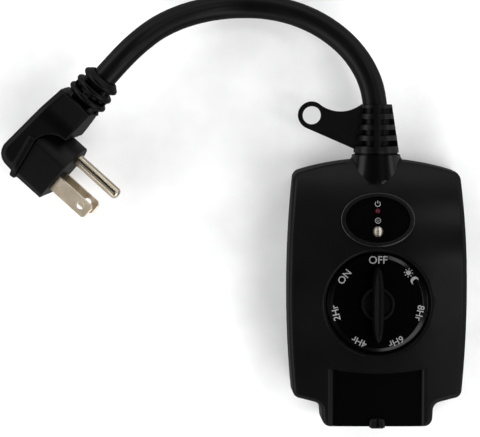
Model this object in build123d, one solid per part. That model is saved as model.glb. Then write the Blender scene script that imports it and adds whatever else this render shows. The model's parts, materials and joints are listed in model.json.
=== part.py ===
from build123d import *
import os
from math import asin, atan2, cos, degrees, pi, radians, sin, sqrt, tan

os.makedirs("parts", exist_ok=True)

# Plug-in timer switch lying on its back. Millimetres, +Z out of the front face, +Y towards the cord.
# The origin is on the flat back, under the dial's axis.

# ---------------------------------------------------------------- housing
wall = 2.8
parting_z = 18.5            # where the two shells meet, level with the cord's axis
face_z = 38.5               # front face at the dial
crown_radius = 260.0        # gentle crown across the face
slope_start_y = 16.0        # the face starts to fall towards the cord here
slope_radius = 58.2
low_face_drop = 1.6         # fall of the face from the dial to the outlet end
top_apex_y = 56.1
side_half_width = 36.0
side_widest_y = 4.0
top_corner_x, top_corner_y = side_half_width - 2.5, 50.7
low_corner_x, low_corner_y = side_half_width - 2.1, -38.0
block_root_x, block_root_y = 22.9, -40.7
block_half_width = 22.3     # outlet block
bottom_y = -50.0
top_corner_radius, low_corner_radius = 4.0, 3.8
block_root_radius, block_corner_radius = 3.0, 4.0
least_corner_radius = 0.6
front_draft = 2.2
rear_draft = 1.2
face_fillet = 2.4
back_fillet = 1.2

# ---------------------------------------------------------------- neck and strain relief
neck_end_y = 58.0
neck_end_radius = 9.7
neck_root_y = 42.0
neck_root_radius = 12.0
neck_seat_y = 52.4          # inner face that the relief's flange bears on
neck_flare = 3.2            # width of the concave foot round the neck
neck_flare_y = 55.1
relief_top_y = 78.0
relief_top_radius = 6.3
relief_low_radius = 9.05
relief_stem_radius = 7.2
relief_flange_radius = 9.2
relief_flange_length = 2.6
relief_rim_length = 1.9
groove_count = 4
groove_pitch = 4.3
groove_width = 2.3
groove_floor_radius = 5.75
groove_web = 1.3            # half the wall left between the front and back grooves
spine_width = 2.6
loop_x, loop_y = -25.8, 73.7
loop_outer_radius = 5.5
loop_hole_radius = 3.66
loop_thickness = 3.4

# ---------------------------------------------------------------- cord
cord_diameter = 9.7
cord_fit = 0.05
tail_end_y = 42.0           # inner end of the jacket
route = [
    (0.0, 66.0, 18.5),
    (0.0, 80.0, 18.5),
    (-4.6, 93.1, 16.9),
    (-13.3, 103.9, 13.4),
    (-26.2, 112.4, 9.1),
    (-41.2, 116.9, 5.7),
    (-57.2, 117.5, 5.1),
    (-72.7, 115.1, 9.2),
    (-86.0, 109.8, 15.7),
    (-96.3, 102.0, 20.8),
    (-105.7, 92.2, 22.7),
    (-114.8, 81.7, 20.7),
]

clamp_low_y, clamp_high_y = 43.0, 47.6
clamp_y = (clamp_low_y + clamp_high_y) / 2
clamp_screw_x = 9.6
clamp_seat_z = 17.5
clamp_thickness = 2.0
wire_radius = 1.4

# ---------------------------------------------------------------- window and lamps
window_y = 33.2
window_proud = 0.3          # bezel top above the face at the window's middle
bezel_rounding = 0.7
bezel_rx, bezel_ry = 14.8, 11.1
bezel_width = 1.5
opening_rx, opening_ry = 12.8, 9.4
lens_fit = 0.06
lens_depth = 1.5            # lens top below the bezel top
lens_thickness = 2.0
lens_lip = 1.5
lens_lip_thickness = 1.0
power_lamp_y, power_lamp_radius = 36.4, 1.0
outlet_lamp_y, outlet_lamp_radius = 28.3, 2.1
lamp_proud = 0.8
lead_radius = 0.3
photocell_x, photocell_y, photocell_radius = 7.4, 31.5, 2.5

# ---------------------------------------------------------------- dial
dial_radius = 20.1
dial_gap = 0.4
recess_radius = dial_radius + dial_gap
recess_rounding = 1.5       # rounded mouth, where the recess meets the face
recess_floor_z = 33.9
disc_bottom_z = 34.3
disc_top_z = 36.4
floor_thickness = 2.2
hub_radius, hub_top_z = 6.5, 40.8
blade_half_length, blade_half_width, blade_top_z = 14.8, 2.25, 46.6
blade_shoulder_width, blade_crest_width, blade_crest_rise = 1.95, 0.85, 1.65
hub_dish_depth, hub_rim_width, hub_rim_flare = 0.6, 1.1, 0.6
dial_edge, hub_rounding = 0.5, 0.9
boss_radius = 5.5
running_fit = 0.05
seal_section_radius = 0.7
seal_z = 32.9
spindle_radius, spindle_flat_x = 2.6, 1.8
spindle_top_z = hub_top_z - hub_dish_depth - 1.2
clip_thickness, clip_radius, clip_ring_width = 0.7, 7.2, 2.8
clip_groove_radius = 1.7

# ---------------------------------------------------------------- board and switch
board_top_z = 20.2
board_thickness = 1.6
board_half_width = side_half_width - 10.5
board_low_y, board_high_y = -20.0, 37.5
board_post_x, board_post_low_y, board_post_high_y = board_half_width - 4.0, -16.4, 32.6
post_radius = 2.8
switch_radius = 11.5
switch_height = 9.4
switch_cup_wall = 1.6
switch_lid_thickness = 1.4
rotor_radius = 8.6
rotor_thickness = 3.0
position_count = 7
contact_radius, contact_pad_radius, contact_height = 7.0, 0.9, 0.4
rotor_hub_radius, rotor_hub_height, detent_radius = 4.2, 1.2, 0.8
wiper_thickness, wiper_gap = 0.3, 0.1
rotor_low_z = board_top_z + switch_cup_wall + 1.0
switch_top_z = board_top_z + switch_height

# ---------------------------------------------------------------- parts hung under the board
relay_inset, relay_y, relay_size = 12.5, 8.5, (19.0, 15.4, 14.8)
relay_place = (relay_inset - board_half_width, relay_y)
film_inset, film_y, film_size = 13.5, 26.0, (18.0, 7.0, 12.0)
film_place = (board_half_width - film_inset, film_y)
can_inset, can_pitch, can_y, can_radius, can_height = 8.5, 10.0, 13.5, 4.0, 11.5
can_places = [(board_half_width - can_inset - can_pitch, can_y), (board_half_width - can_inset, can_y)]
varistor_inset, varistor_y, varistor_radius, varistor_thickness = 12.5, 26.5, 5.0, 3.6
varistor_place, varistor_drop = (varistor_inset - board_half_width, varistor_y), 7.5
fuse_inset, fuse_y, fuse_radius, fuse_length = 9.5, -6.0, 2.4, 8.4
fuse_place, fuse_drop, fuse_lead_reach = (fuse_inset - board_half_width, fuse_y), 4.0, 1.0
part_rounding = 0.6
pin_radius = 0.4
chip_inset, chip_y, chip_size, chip_pitch = 6.5, 6.0, (4.0, 8.6, 1.5), 1.27
chip_place = (chip_inset - board_half_width, chip_y)
chip_rows, chip_standoff, chip_lead_reach, chip_lead_width, chip_lead_height = 7, 0.2, 1.0, 0.4, 0.5

# ---------------------------------------------------------------- outlet
blade_pitch = 12.7
ground_offset = 11.9
outlet_blade_z = 12.4
outlet_face_y = bottom_y + 3.6
outlet_face_thickness = 3.4
outlet_cavity_half_width = 19.5
outlet_cavity_low_z, outlet_cavity_high_z = 2.6, 32.4
outlet_fit = 0.2
carrier_depth = 13.6
carrier_half_width = 14.5
carrier_low_z, carrier_high_z = 5.5, 29.5
leaf_gap, leaf_thickness, leaf_height = 1.3, 0.6, 6.0
sleeve_inner, sleeve_outer = 2.3, 2.9
strap_thickness, strap_half_width = 0.8, 1.9
slot_width = 2.2
line_slot_height, neutral_slot_height = 7.2, 8.6
ground_hole_radius = 2.75
cover_clearance = 0.3
cover_thickness = 2.0
cover_seal_thickness = 1.0
hinge_y, hinge_z = bottom_y + 1.6, 5.0
hinge_pin_radius = 0.8
knuckle_radius = 1.5

# ---------------------------------------------------------------- front pocket and thumb tab
pocket_half_width = 17.4
pocket_top_y = -26.5
pocket_sag = 1.8
pocket_floor_z = 34.6
pocket_middle_y = -37.0
pocket_rim = [              # height, opening at the sides and opening at the top of the rounded rim
    (34.9, 0.0, 0.0), (35.6, 0.4, 0.1), (36.1, 1.1, 0.3),
    (36.4, 2.0, 0.5), (36.6, 3.0, 0.7), (38.6, 9.0, 2.2),
]
tab_half_width = 3.1
tab_inner_y, tab_outer_y = bottom_y + 3.8, bottom_y - 0.1
tab_thickness = 1.6
tab_rounding, cleft_width, cleft_floor = 0.9, 1.0, 0.5
rib_places, rib_width, rib_proud, rib_low_z, rib_high_z = (-14, -7, 7, 14), 1.0, 0.35, 10.0, 27.0

# ---------------------------------------------------------------- fasteners
screw_shank_radius, screw_head_radius, screw_head_height = 1.45, 2.75, 1.8
cross_length, cross_width, cross_depth = 3.0, 0.6, 1.1
small_shank_radius, small_head_radius, small_head_height = 1.0, 1.9, 1.3
slot_half_width, slot_depth = 0.25, 0.6
clamp_screw_length, board_screw_length = 8.0, 7.0
clearance_radius, pilot_radius = 1.2, 1.05
screw_fit = 0.05
housing_post_radius = 4.0
counterbore_radius, counterbore_depth = 3.1, 4.2
housing_screw_length = 21.8
housing_screw_inset, housing_screw_high_y, housing_screw_low_y = 9.1, 42.8, -30.8
housing_screw_x = side_half_width - housing_screw_inset
housing_screw_rows = (housing_screw_high_y, housing_screw_low_y)
housing_screw_places = [(side * housing_screw_x, y) for y in housing_screw_rows for side in (-1, 1)]
gasket_width, gasket_height, gasket_margin = 1.2, 1.6, 0.8

# ---------------------------------------------------------------- plug
plug_bore_depth = 10.0
plug_cord_direction = (Vector(*route[-2]) - Vector(*route[-1])).normalized()
plug_exit = Vector(*route[-1]) + plug_cord_direction * plug_bore_depth      # mouth of the plug's relief
plug_prong_rise = 6.0                       # degrees that the prongs point above level
plug_relief_length = 14.0
plug_relief_top_radius, plug_relief_low_radius = 6.9, 8.1
plug_core_near, plug_core_far = -27.2, -51.8
plug_core_half_width = 13.6
plug_body_half_width = 14.0
plug_step_x = 6.6           # the body's front beside the relief, where the core steps out
plug_seam_x = 0.2           # seam between body and core at the far end
plug_seam_turn = (-2.8, -35.0)      # where the seam leaves the bead and arches to the step
plug_back_x = -9.3
plug_heel = (-11.65, -44.5)
plug_toe = (-6.5, -51.1)
plug_back_fillet = 3.0
plug_bead_width = 2.5
plug_bead_height = 1.1
plug_bore_fit = 0.3
plug_face_x = 13.3
ground_pin_y = plug_core_near - 5.2
blade_y = ground_pin_y - ground_offset
blade_width, blade_thickness, blade_length = 6.35, 1.52, 18.2
blade_hole_radius, blade_hole_inset = 1.6, 4.6
blade_corner, blade_tip_bevel = 1.3, 0.4
ground_pin_radius, ground_pin_length = 2.4, 22.0
ground_root_radius = 1.9
prong_root = 6.0


# ================================================================ helpers
def box(x0, x1, y0, y1, z0, z1):
    solid = Box(x1 - x0, y1 - y0, z1 - z0)
    return Pos((x0 + x1) / 2, (y0 + y1) / 2, (z0 + z1) / 2) * solid


def post(x, y, radius, z0, z1):
    return Pos(x, y, (z0 + z1) / 2) * Cylinder(radius, z1 - z0)


def rod_y(x, z, radius, y0, y1):
    return Pos(x, (y0 + y1) / 2, z) * Rot(90, 0, 0) * Cylinder(radius, y1 - y0)


def cone_y(radius0, y0, radius1, y1, z):
    # a frustum about a line along Y, with radius0 at y0 and radius1 at y1
    profile = Polyline((0, y0), (radius0, y0), (radius1, y1), (0, y1), close=True)
    return Pos(0, 0, z) * revolve(make_face(profile), Axis.Y)


def ring_about_z(points):
    # a solid of revolution about Z from (radius, z) points
    return revolve(Plane.XZ * make_face(Polyline(*points, close=True)), Axis.Z)


def together(pieces):
    return Compound(children=[p.solid() for p in pieces])


def corner(sketch, x, y):
    return sketch.vertices().sort_by_distance((x, y, 0))[0]


def save(node, shape):
    export_step(shape, f"parts/{node}.step")


# ================================================================ housing forms
def housing_outline(inset=0.0):
    # seen from the front: bowed sides, arched top, and the narrower outlet block below
    top_left, top_right = (-top_corner_x, top_corner_y), (top_corner_x, top_corner_y)
    low_left, low_right = (-low_corner_x, low_corner_y), (low_corner_x, low_corner_y)
    root_left, root_right = (-block_root_x, block_root_y), (block_root_x, block_root_y)
    end_left, end_right = (-block_half_width, bottom_y), (block_half_width, bottom_y)
    face = make_face([
        ThreePointArc(top_left, (0, top_apex_y), top_right),
        ThreePointArc(top_right, (side_half_width, side_widest_y), low_right),
        Line(low_right, root_right),
        Line(root_right, end_right),
        Line(end_right, end_left),
        Line(end_left, root_left),
        Line(root_left, low_left),
        ThreePointArc(low_left, (-side_half_width, side_widest_y), top_left),
    ])
    if inset:
        face = offset(face, -inset, kind=Kind.INTERSECTION)
    for x, y, radius in (
        (top_corner_x, top_corner_y, top_corner_radius - inset),
        (low_corner_x, low_corner_y, low_corner_radius - inset),
        (block_root_x, block_root_y, block_root_radius + inset),
        (block_half_width, bottom_y, block_corner_radius - inset),
    ):
        for side in (-1, 1):
            face = fillet(corner(face, side * x, y), max(radius, least_corner_radius))
    return face


def face_height(y, inset=0.0):
    # height of the front face on the centre line
    if y > slope_start_y:
        radius = slope_radius - inset
        return face_z - slope_radius + sqrt(radius * radius - (y - slope_start_y) ** 2)
    fall = low_face_drop * (slope_start_y - y) / (slope_start_y - bottom_y)
    return face_z - inset - fall


def side_form(inset=0.0):
    # the side profile of the front, swung round the crown's axis
    far = 62.0
    radius = slope_radius - inset
    arc_angle = asin((far - slope_start_y) / slope_radius)
    centre_z = face_z - slope_radius
    arc_end = (slope_start_y + radius * sin(arc_angle), centre_z + radius * cos(arc_angle))
    arc_middle = (slope_start_y + radius * sin(arc_angle / 2), centre_z + radius * cos(arc_angle / 2))
    low_y = bottom_y - 6
    low_z = face_height(low_y, inset)
    top_z = face_z - inset
    edges = [
        Line((low_y, -5), (low_y, low_z)),
        Line((low_y, low_z), (slope_start_y, top_z)),
        ThreePointArc((slope_start_y, top_z), arc_middle, arc_end),
        Line(arc_end, (arc_end[0], -5)),
        Line((arc_end[0], -5), (low_y, -5)),
    ]
    profile = Plane.YZ * make_face(edges)
    axis = Axis((0, 0, face_z - crown_radius), (0, 1, 0))
    half_swing = 12
    swung = revolve(profile, axis, revolution_arc=2 * half_swing)
    crown_axis = Pos(0, 0, face_z - crown_radius)
    return crown_axis * Rot(0, -half_swing, 0) * crown_axis.inverse() * swung


def drafted(inset, height, draft):
    # the outline at the parting plane, drawn in evenly towards the far end of the shell
    far_inset = inset + abs(height) * tan(radians(draft))
    near = Pos(0, 0, parting_z) * housing_outline(inset)
    far = Pos(0, 0, parting_z + height) * housing_outline(far_inset)
    return loft([near, far], ruled=True)


def housing_form(inset=0.0):
    front = drafted(inset, face_z - parting_z + 2, front_draft) & side_form(inset)
    rear = drafted(inset, inset - parting_z, rear_draft)
    return front, rear


def recess_form():
    # the dial's recess
    return post(0, 0, recess_radius, recess_floor_z, face_z + 6)


def is_recess_mouth(edge):
    middle = edge @ 0.5
    reach = sqrt(middle.X ** 2 + middle.Y ** 2)
    return abs(reach - recess_radius) < 0.1 and middle.Z > disc_top_z


def pocket_outline(margin=0.0, top_margin=0.0):
    # front pocket over the outlet, with an arched top edge
    half = pocket_half_width + margin
    top = pocket_top_y + top_margin
    low = bottom_y - 8
    edges = [
        Line((-half, low), (half, low)),
        Line((half, low), (half, top)),
        ThreePointArc((half, top), (0, top - pocket_sag), (-half, top)),
        Line((-half, top), (-half, low)),
    ]
    return make_face(edges)


def pocket_form():
    # the sunk pocket and the rounded rim it opens through, which falls with the face
    floor = extrude(Plane.XY.offset(pocket_floor_z) * pocket_outline(), 12)
    fall = degrees(low_face_drop / (slope_start_y - bottom_y))
    sections = []
    for z, opening, top_opening in pocket_rim:
        tilt = Pos(0, pocket_middle_y, z) * Rot(fall, 0, 0) * Pos(0, -pocket_middle_y, 0)
        sections.append(tilt * pocket_outline(opening, top_opening))
    return floor + loft(sections, ruled=True)


def window_plane(rise=0.0):
    # a plane that touches the sloping face at the window, raised along its normal
    slope = asin((window_y - slope_start_y) / slope_radius)
    origin = Vector(0, window_y, face_height(window_y))
    normal = Vector(0, sin(slope), cos(slope))
    return Plane(origin=origin + normal * rise, x_dir=(1, 0, 0), z_dir=normal)


def window_height(y, rise):
    slope = asin((window_y - slope_start_y) / slope_radius)
    return face_height(window_y) + (rise - sin(slope) * (y - window_y)) / cos(slope)


def oval(rise, rx, ry, thickness):
    # an elliptical plate whose top lies at the given rise over the face
    return extrude(window_plane(rise) * Ellipse(rx, ry), -thickness)


lens_top_rise = window_proud - lens_depth
lens_seat_rise = lens_top_rise - lens_thickness
tray_margin = wall - 0.4
cup_radius = recess_radius + wall - 0.4
cup_floor_z = recess_floor_z - floor_thickness
board_bottom_z = board_top_z - board_thickness
blade_line_z = outlet_blade_z
ground_line_z = outlet_blade_z + ground_offset


def inner_ceiling_parts():
    # what stays solid inside the front shell: dial cup, pocket tray, window pad and screw posts
    cup = post(0, 0, cup_radius, cup_floor_z, face_z)
    tray = Plane.XY.offset(outlet_cavity_high_z) * pocket_outline(tray_margin, tray_margin)
    tray = extrude(tray, face_z - outlet_cavity_high_z)
    pad = oval(0, bezel_rx + 1.2, bezel_ry + 1.2, -lens_seat_rise)
    posts = [post(x, y, housing_post_radius, parting_z, face_z) for x, y in housing_screw_places]
    for x in (-board_post_x, board_post_x):
        for y in (board_post_low_y, board_post_high_y):
            posts.append(post(x, y, post_radius, board_top_z, face_z))
    return [cup, tray, pad] + posts


def neck_form():
    return cone_y(neck_root_radius, neck_root_y, neck_end_radius, neck_end_y, parting_z)


def neck_foot_form():
    # concave foot that spreads the neck into the top wall
    root, tip = neck_end_radius + neck_flare, neck_end_y - 0.3
    hollow = (neck_end_radius + 0.28 * neck_flare, neck_flare_y + 0.33 * (tip - neck_flare_y))
    profile = make_face([
        Line((0, neck_seat_y), (root, neck_seat_y)),
        Line((root, neck_seat_y), (root, neck_flare_y)),
        ThreePointArc((root, neck_flare_y), hollow, (neck_end_radius, tip)),
        Line((neck_end_radius, tip), (0, tip)),
        Line((0, tip), (0, neck_seat_y)),
    ])
    return Pos(0, 0, parting_z) * revolve(profile, Axis.Y)


def neck_seat_form():
    taper = (neck_root_radius - neck_end_radius) / (neck_end_y - neck_root_y)
    seat_radius = neck_end_radius + taper * (neck_end_y - neck_seat_y)
    return cone_y(seat_radius, neck_seat_y, neck_end_radius, neck_end_y, parting_z)


def gasket_form():
    strip = housing_outline(gasket_margin) - housing_outline(gasket_margin + gasket_width)
    ring = extrude(Pos(0, 0, parting_z - gasket_height / 2) * strip, gasket_height, dir=(0, 0, 1))
    neck_gap = neck_root_radius + 0.5
    ring -= box(-neck_gap, neck_gap, 45, 60, 0, 40)
    ring -= box(-40, 40, bottom_y - 1, low_corner_y + 1.5, 0, 40)
    return ring


def outlet_cavity():
    low, high = outlet_cavity_low_z, outlet_cavity_high_z
    half = outlet_cavity_half_width
    return box(-half, half, bottom_y - 2, block_root_y - 1, low, high)


def tab_notch():
    half = tab_half_width + cover_clearance
    return box(-half, half, bottom_y - 2, hinge_y + 1.4, outlet_cavity_high_z - 1, pocket_floor_z + 6)


def screw_holes():
    top_z = counterbore_depth + housing_screw_length - screw_head_height
    holes = [post(x, y, screw_shank_radius + screw_fit, 0, top_z + 0.3) for x, y in housing_screw_places]
    sinks = [post(x, y, counterbore_radius, -1, counterbore_depth) for x, y in housing_screw_places]
    for x in (-board_post_x, board_post_x):
        for y in (board_post_low_y, board_post_high_y):
            holes.append(post(x, y, 1.05, board_top_z, board_top_z + 7))
    return holes + sinks


def hinge_holes():
    return rod_x(hinge_y, hinge_z, hinge_pin_radius, -block_half_width + 1.2, block_half_width - 1.2)


def rod_x(y, z, radius, x0, x1):
    return Pos((x0 + x1) / 2, y, z) * Rot(0, 90, 0) * Cylinder(radius, x1 - x0)


def front_housing():
    front, _ = housing_form()
    rim = [e for e in front.edges() if e.center().Z > parting_z + 1.5 and e.length > 1 and is_rim(e)]
    front = fillet(rim, face_fillet)
    front = front - recess_form()
    front = fillet([e for e in front.edges() if is_recess_mouth(e)], recess_rounding)
    front = front + (neck_form() & box(-20, 20, 40, 60, parting_z, 60))
    front = front + (neck_foot_form() & side_form() & box(-20, 20, 40, 60, parting_z, 60))
    bezel = oval(window_proud, bezel_rx, bezel_ry, 4)
    front = front + fillet(bezel.edges().sort_by(Axis.Z)[-1], bezel_rounding)
    inner, _ = housing_form(wall)
    for piece in inner_ceiling_parts() + [neck_seat_form()]:
        inner = inner - piece
    front = front - inner
    front = front - outlet_cavity()
    front = front - post(0, 0, boss_radius + running_fit, cup_floor_z - 1, recess_floor_z + 1)
    front = front - oval(window_proud + 3, opening_rx, opening_ry, 12)
    lip_fit = lens_lip + lens_fit
    front = front - oval(lens_seat_rise, opening_rx + lip_fit, opening_ry + lip_fit, 4)
    front = front - pocket_form()
    front = front - tab_notch()
    front = front - rod_y(0, parting_z, relief_stem_radius + cord_fit, neck_seat_y - 4, neck_end_y + 1)
    flange_y = neck_seat_y - relief_flange_length - 0.3
    front = front - rod_y(0, parting_z, relief_flange_radius + cord_fit, flange_y, neck_seat_y)
    for cut in screw_holes() + [gasket_form()]:
        front = front - cut
    return front


def is_rim(edge):
    # edges where the crowned face meets the side walls
    middle = edge @ 0.5
    seam = abs(middle.X) < 1 and abs(middle.Y - slope_start_y) < 1
    return not seam and abs(middle.Z - crown_height(middle.X, middle.Y)) < 0.05


def crown_height(x, y):
    # height of the crowned face away from the centre line
    drop = face_z - face_height(y)
    radius = crown_radius - drop
    return face_z - crown_radius + sqrt(radius * radius - x * x)


def rear_housing():
    _, rear = housing_form()
    back_edges = rear.faces().sort_by(Axis.Z)[0].edges()
    rear = fillet(back_edges, back_fillet)
    rear = rear + ((neck_form() + neck_foot_form()) & box(-20, 20, 50, 60, 0, parting_z))
    _, inner = housing_form(wall)
    saddle = box(-7, 7, clamp_low_y, clamp_high_y, 0, clamp_seat_z)
    inner = inner - neck_seat_form() - saddle
    for x, y in housing_screw_places:
        inner = inner - post(x, y, housing_post_radius, 0, parting_z)
    for x in (-clamp_screw_x, clamp_screw_x):
        inner = inner - post(x, clamp_y, post_radius, 0, clamp_seat_z)
    rear = rear - inner
    rear = rear - outlet_cavity()
    rear = rear - rod_y(0, parting_z, relief_stem_radius + cord_fit, neck_seat_y - 4, neck_end_y + 1)
    rear = rear - rod_y(0, parting_z, cord_diameter / 2 + cord_fit, tail_end_y - 1, neck_seat_y)
    for cut in screw_holes() + [gasket_form(), hinge_holes()]:
        rear = rear - cut
    for x in (-clamp_screw_x, clamp_screw_x):
        rear = rear - post(x, clamp_y, pilot_radius, clamp_seat_z - clamp_screw_length, clamp_seat_z + 1)
    return rear


# ================================================================ cord and strain relief
def relief_radius(y):
    share = (y - (neck_end_y + relief_rim_length)) / (relief_top_y - neck_end_y - relief_rim_length)
    return relief_low_radius + (relief_top_radius - relief_low_radius) * share


def strain_relief():
    flange_y = neck_seat_y - relief_flange_length
    rim_y = neck_end_y + relief_rim_length
    bore = cord_diameter / 2 + cord_fit
    mouth = 0.7
    profile = Polyline(
        (bore, flange_y), (relief_flange_radius, flange_y), (relief_flange_radius, neck_seat_y),
        (relief_stem_radius, neck_seat_y), (relief_stem_radius, neck_end_y), (relief_low_radius, neck_end_y),
        (relief_low_radius, rim_y), (relief_top_radius, relief_top_y),
        (bore + mouth, relief_top_y), (bore, route[0][1]), close=True,
    )
    relief = Pos(0, 0, parting_z) * revolve(make_face(profile), Axis.Y)
    for index in range(groove_count):
        y = rim_y + 1.6 + groove_width / 2 + index * groove_pitch
        relief = relief - groove_cuts(y)
    return relief + hanging_loop()


def groove_cuts(y):
    # four pockets round the relief at one height: left and right of the spine, on the front and the back
    reach = relief_radius(y) + 1
    inner = spine_width / 2
    slab = box(inner, reach, y - groove_width / 2, y + groove_width / 2, groove_web, 12)
    slab = slab - rod_y(0, 0, groove_floor_radius, y - groove_width, y + groove_width)
    pockets = []
    for turn in (0, 180):
        pockets.append(Pos(0, 0, parting_z) * Rot(0, turn, 0) * slab)
        pockets.append(mirror(pockets[-1], Plane.YZ))
    cut = pockets[0]
    for pocket in pockets[1:]:
        cut = cut + pocket
    return cut


def hanging_loop():
    # flat arm with an eye, moulded on the left of the relief
    arm = make_face([
        Line((loop_x - 2.1, loop_y - 5.1), (-8.7, 60.2)),
        Line((-8.7, 60.2), (-5.4, 60.2)),
        Line((-5.4, 60.2), (-5.4, 77.6)),
        Line((-5.4, 77.6), (-6.6, 77.6)),
        ThreePointArc((-6.6, 77.6), (-14.4, 75.2), (loop_x + 3.9, loop_y + 3.9)),
        Line((loop_x + 3.9, loop_y + 3.9), (loop_x - 2.1, loop_y - 5.1)),
    ])
    sheet = arm + Pos(loop_x, loop_y) * Circle(loop_outer_radius)
    sheet = sheet - Pos(loop_x, loop_y) * Circle(loop_hole_radius)
    return extrude(Plane.XY.offset(parting_z - loop_thickness / 2) * sheet, loop_thickness)


def route_path(points):
    # straight runs joined by arcs as large as their runs allow
    radii = []
    for before, here, after in zip(points, points[1:], points[2:]):
        arriving, leaving = Vector(*here) - Vector(*before), Vector(*after) - Vector(*here)
        turn = radians(arriving.get_angle(leaving))
        radii.append(0.45 * min(arriving.length, leaving.length) / tan(turn / 2))
    return FilletPolyline(*points, radius=radii), radii


def power_cord():
    path, radii = route_path(route)
    print("cord radii", [round(r, 1) for r in radii], "length", round(path.length, 1))
    start = Plane(origin=path @ 0, z_dir=path % 0)
    tube = sweep(start * Circle(cord_diameter / 2), path)
    section = pi * cord_diameter ** 2 / 4
    print("cord volume", round(tube.volume), "section x length", round(section * path.length))
    return tube


def cord_tail():
    return rod_y(0, parting_z, cord_diameter / 2, tail_end_y, route[0][1])


def cord_clamp():
    # bridge over the jacket, screwed down beside it
    half = clamp_screw_x + 3.2
    bar = box(-half, half, clamp_low_y, clamp_high_y, clamp_seat_z, clamp_seat_z + clamp_thickness)
    bar = bar + rod_y(0, parting_z, cord_diameter / 2 + cord_fit + clamp_thickness, clamp_low_y, clamp_high_y)
    bar = bar - box(-half, half, 0, 60, 0, clamp_seat_z)
    bar = bar - rod_y(0, parting_z, cord_diameter / 2 + cord_fit, clamp_low_y - 1, clamp_high_y + 1)
    for x in (-clamp_screw_x, clamp_screw_x):
        bar = bar - post(x, clamp_y, clearance_radius - 0.1, 0, parting_z + cord_diameter / 2)
    return bar


def small_screw(x, y, seat_z, length, up=1):
    # pan head seated at seat_z, shank running the other way
    head = post(0, 0, small_head_radius, 0, small_head_height)
    slot_z = small_head_height - slot_depth
    head = head - box(-1.5, 1.5, -slot_half_width, slot_half_width, slot_z, small_head_height + 1)
    screw = head + post(0, 0, small_shank_radius, -length, 0)
    return Pos(x, y, seat_z) * Rot(0 if up > 0 else 180, 0, 0) * screw


def clamp_screws():
    seat = clamp_seat_z + clamp_thickness
    places = (-clamp_screw_x, clamp_screw_x)
    return together([small_screw(x, clamp_y, seat, clamp_screw_length) for x in places])


def housing_screws():
    # cross-recess heads in their counterbores, seen from the back
    low_z = counterbore_depth - screw_head_height
    head = post(0, 0, screw_head_radius, low_z, counterbore_depth)
    for turn in (0, 90):
        cross = Pos(0, 0, low_z + cross_depth / 2 - 0.1) * Box(cross_length, cross_width, cross_depth)
        head = head - Rot(0, 0, turn) * cross
    screw = head + post(0, 0, screw_shank_radius, counterbore_depth, low_z + housing_screw_length)
    return together([Pos(x, y) * screw for x, y in housing_screw_places])


# ================================================================ window and lamps
def sensor_window():
    lens = oval(lens_top_rise, opening_rx - lens_fit, opening_ry - lens_fit, lens_thickness)
    lip = oval(lens_seat_rise, opening_rx + lens_lip, opening_ry + lens_lip, lens_lip_thickness)
    window = lens + lip
    window = window - post(0, power_lamp_y, power_lamp_radius + lens_fit, 20, 50)
    window = window - post(0, outlet_lamp_y, outlet_lamp_radius + lens_fit, 20, 50)
    return window


def lamp(y, radius):
    # domed lamp standing on the board on two leads
    top = window_height(y, lens_top_rise) + lamp_proud + radius * 0.3
    base = top - 2.2 * radius - 3.0
    body = post(0, y, radius, base, top - radius)
    dome = Pos(0, y, top - radius) * Sphere(radius)
    collar = post(0, y, radius + 0.35, base - 0.8, base)
    leads = [post(x, y, lead_radius, board_top_z, base - 0.7) for x in (-0.6 * radius, 0.6 * radius)]
    return body + dome + collar + leads[0] + leads[1]


def photocell():
    top = window_height(photocell_y + photocell_radius, lens_seat_rise) - lens_lip_thickness - 0.4
    disc = post(photocell_x, photocell_y, photocell_radius, top - 2, top)
    leads = [post(photocell_x + dx, photocell_y, lead_radius, board_top_z, top - 1.9) for dx in (-1.3, 1.3)]
    return disc + leads[0] + leads[1]


# ================================================================ dial
def leaf(half_length, half_width, z):
    # pointed leaf outline with blunt tips
    tip = 0.3 * half_width
    return Pos(0, 0, z) * make_face([
        ThreePointArc((tip, -half_length), (half_width, 0), (tip, half_length)),
        Line((tip, half_length), (-tip, half_length)),
        ThreePointArc((-tip, half_length), (-half_width, 0), (-tip, -half_length)),
        Line((-tip, -half_length), (tip, -half_length)),
    ])


def dial():
    disc = ring_about_z([
        (0, disc_bottom_z), (dial_radius, disc_bottom_z), (dial_radius, disc_top_z - dial_edge),
        (dial_radius - dial_edge, disc_top_z), (0, disc_top_z),
    ])
    hub = post(0, 0, hub_radius, disc_top_z, hub_top_z)
    hub = fillet(hub.faces().sort_by(Axis.Z)[-1].edges(), hub_rounding)
    dish_z, dish_top_z = hub_top_z - hub_dish_depth, hub_top_z + 1
    rim_radius = hub_radius - hub_rim_width
    dish = ring_about_z([
        (0, dish_z), (rim_radius - hub_rim_flare, dish_z), (rim_radius, dish_top_z), (0, dish_top_z),
    ])
    foot = leaf(blade_half_length, blade_half_width, disc_top_z - 0.2)
    shoulder = leaf(blade_half_length - 0.2, blade_shoulder_width, blade_top_z - blade_crest_rise)
    crest = leaf(blade_half_length - 1.3, blade_crest_width, blade_top_z)
    blade = loft([foot, shoulder, crest], ruled=True)
    boss = post(0, 0, boss_radius, cup_floor_z - 0.2, disc_bottom_z)
    knob = disc + (hub - dish) + blade + boss
    groove_radius = boss_radius - 2 * seal_section_radius
    groove = post(0, 0, boss_radius + 1, seal_z - seal_section_radius, seal_z + seal_section_radius)
    groove = groove - post(0, 0, groove_radius, seal_z - 2, seal_z + 2)
    knob = knob - groove
    return knob - spindle_shape(running_fit, cup_floor_z - 1)


def spindle_shape(margin, low_z):
    # round spindle with a flat along one side
    radius = spindle_radius + margin
    flat = spindle_flat_x + margin
    shaft = post(0, 0, radius, low_z, spindle_top_z + margin)
    return shaft - box(flat, radius + 1, -radius - 1, radius + 1, low_z - 1, spindle_top_z + 2)


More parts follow.
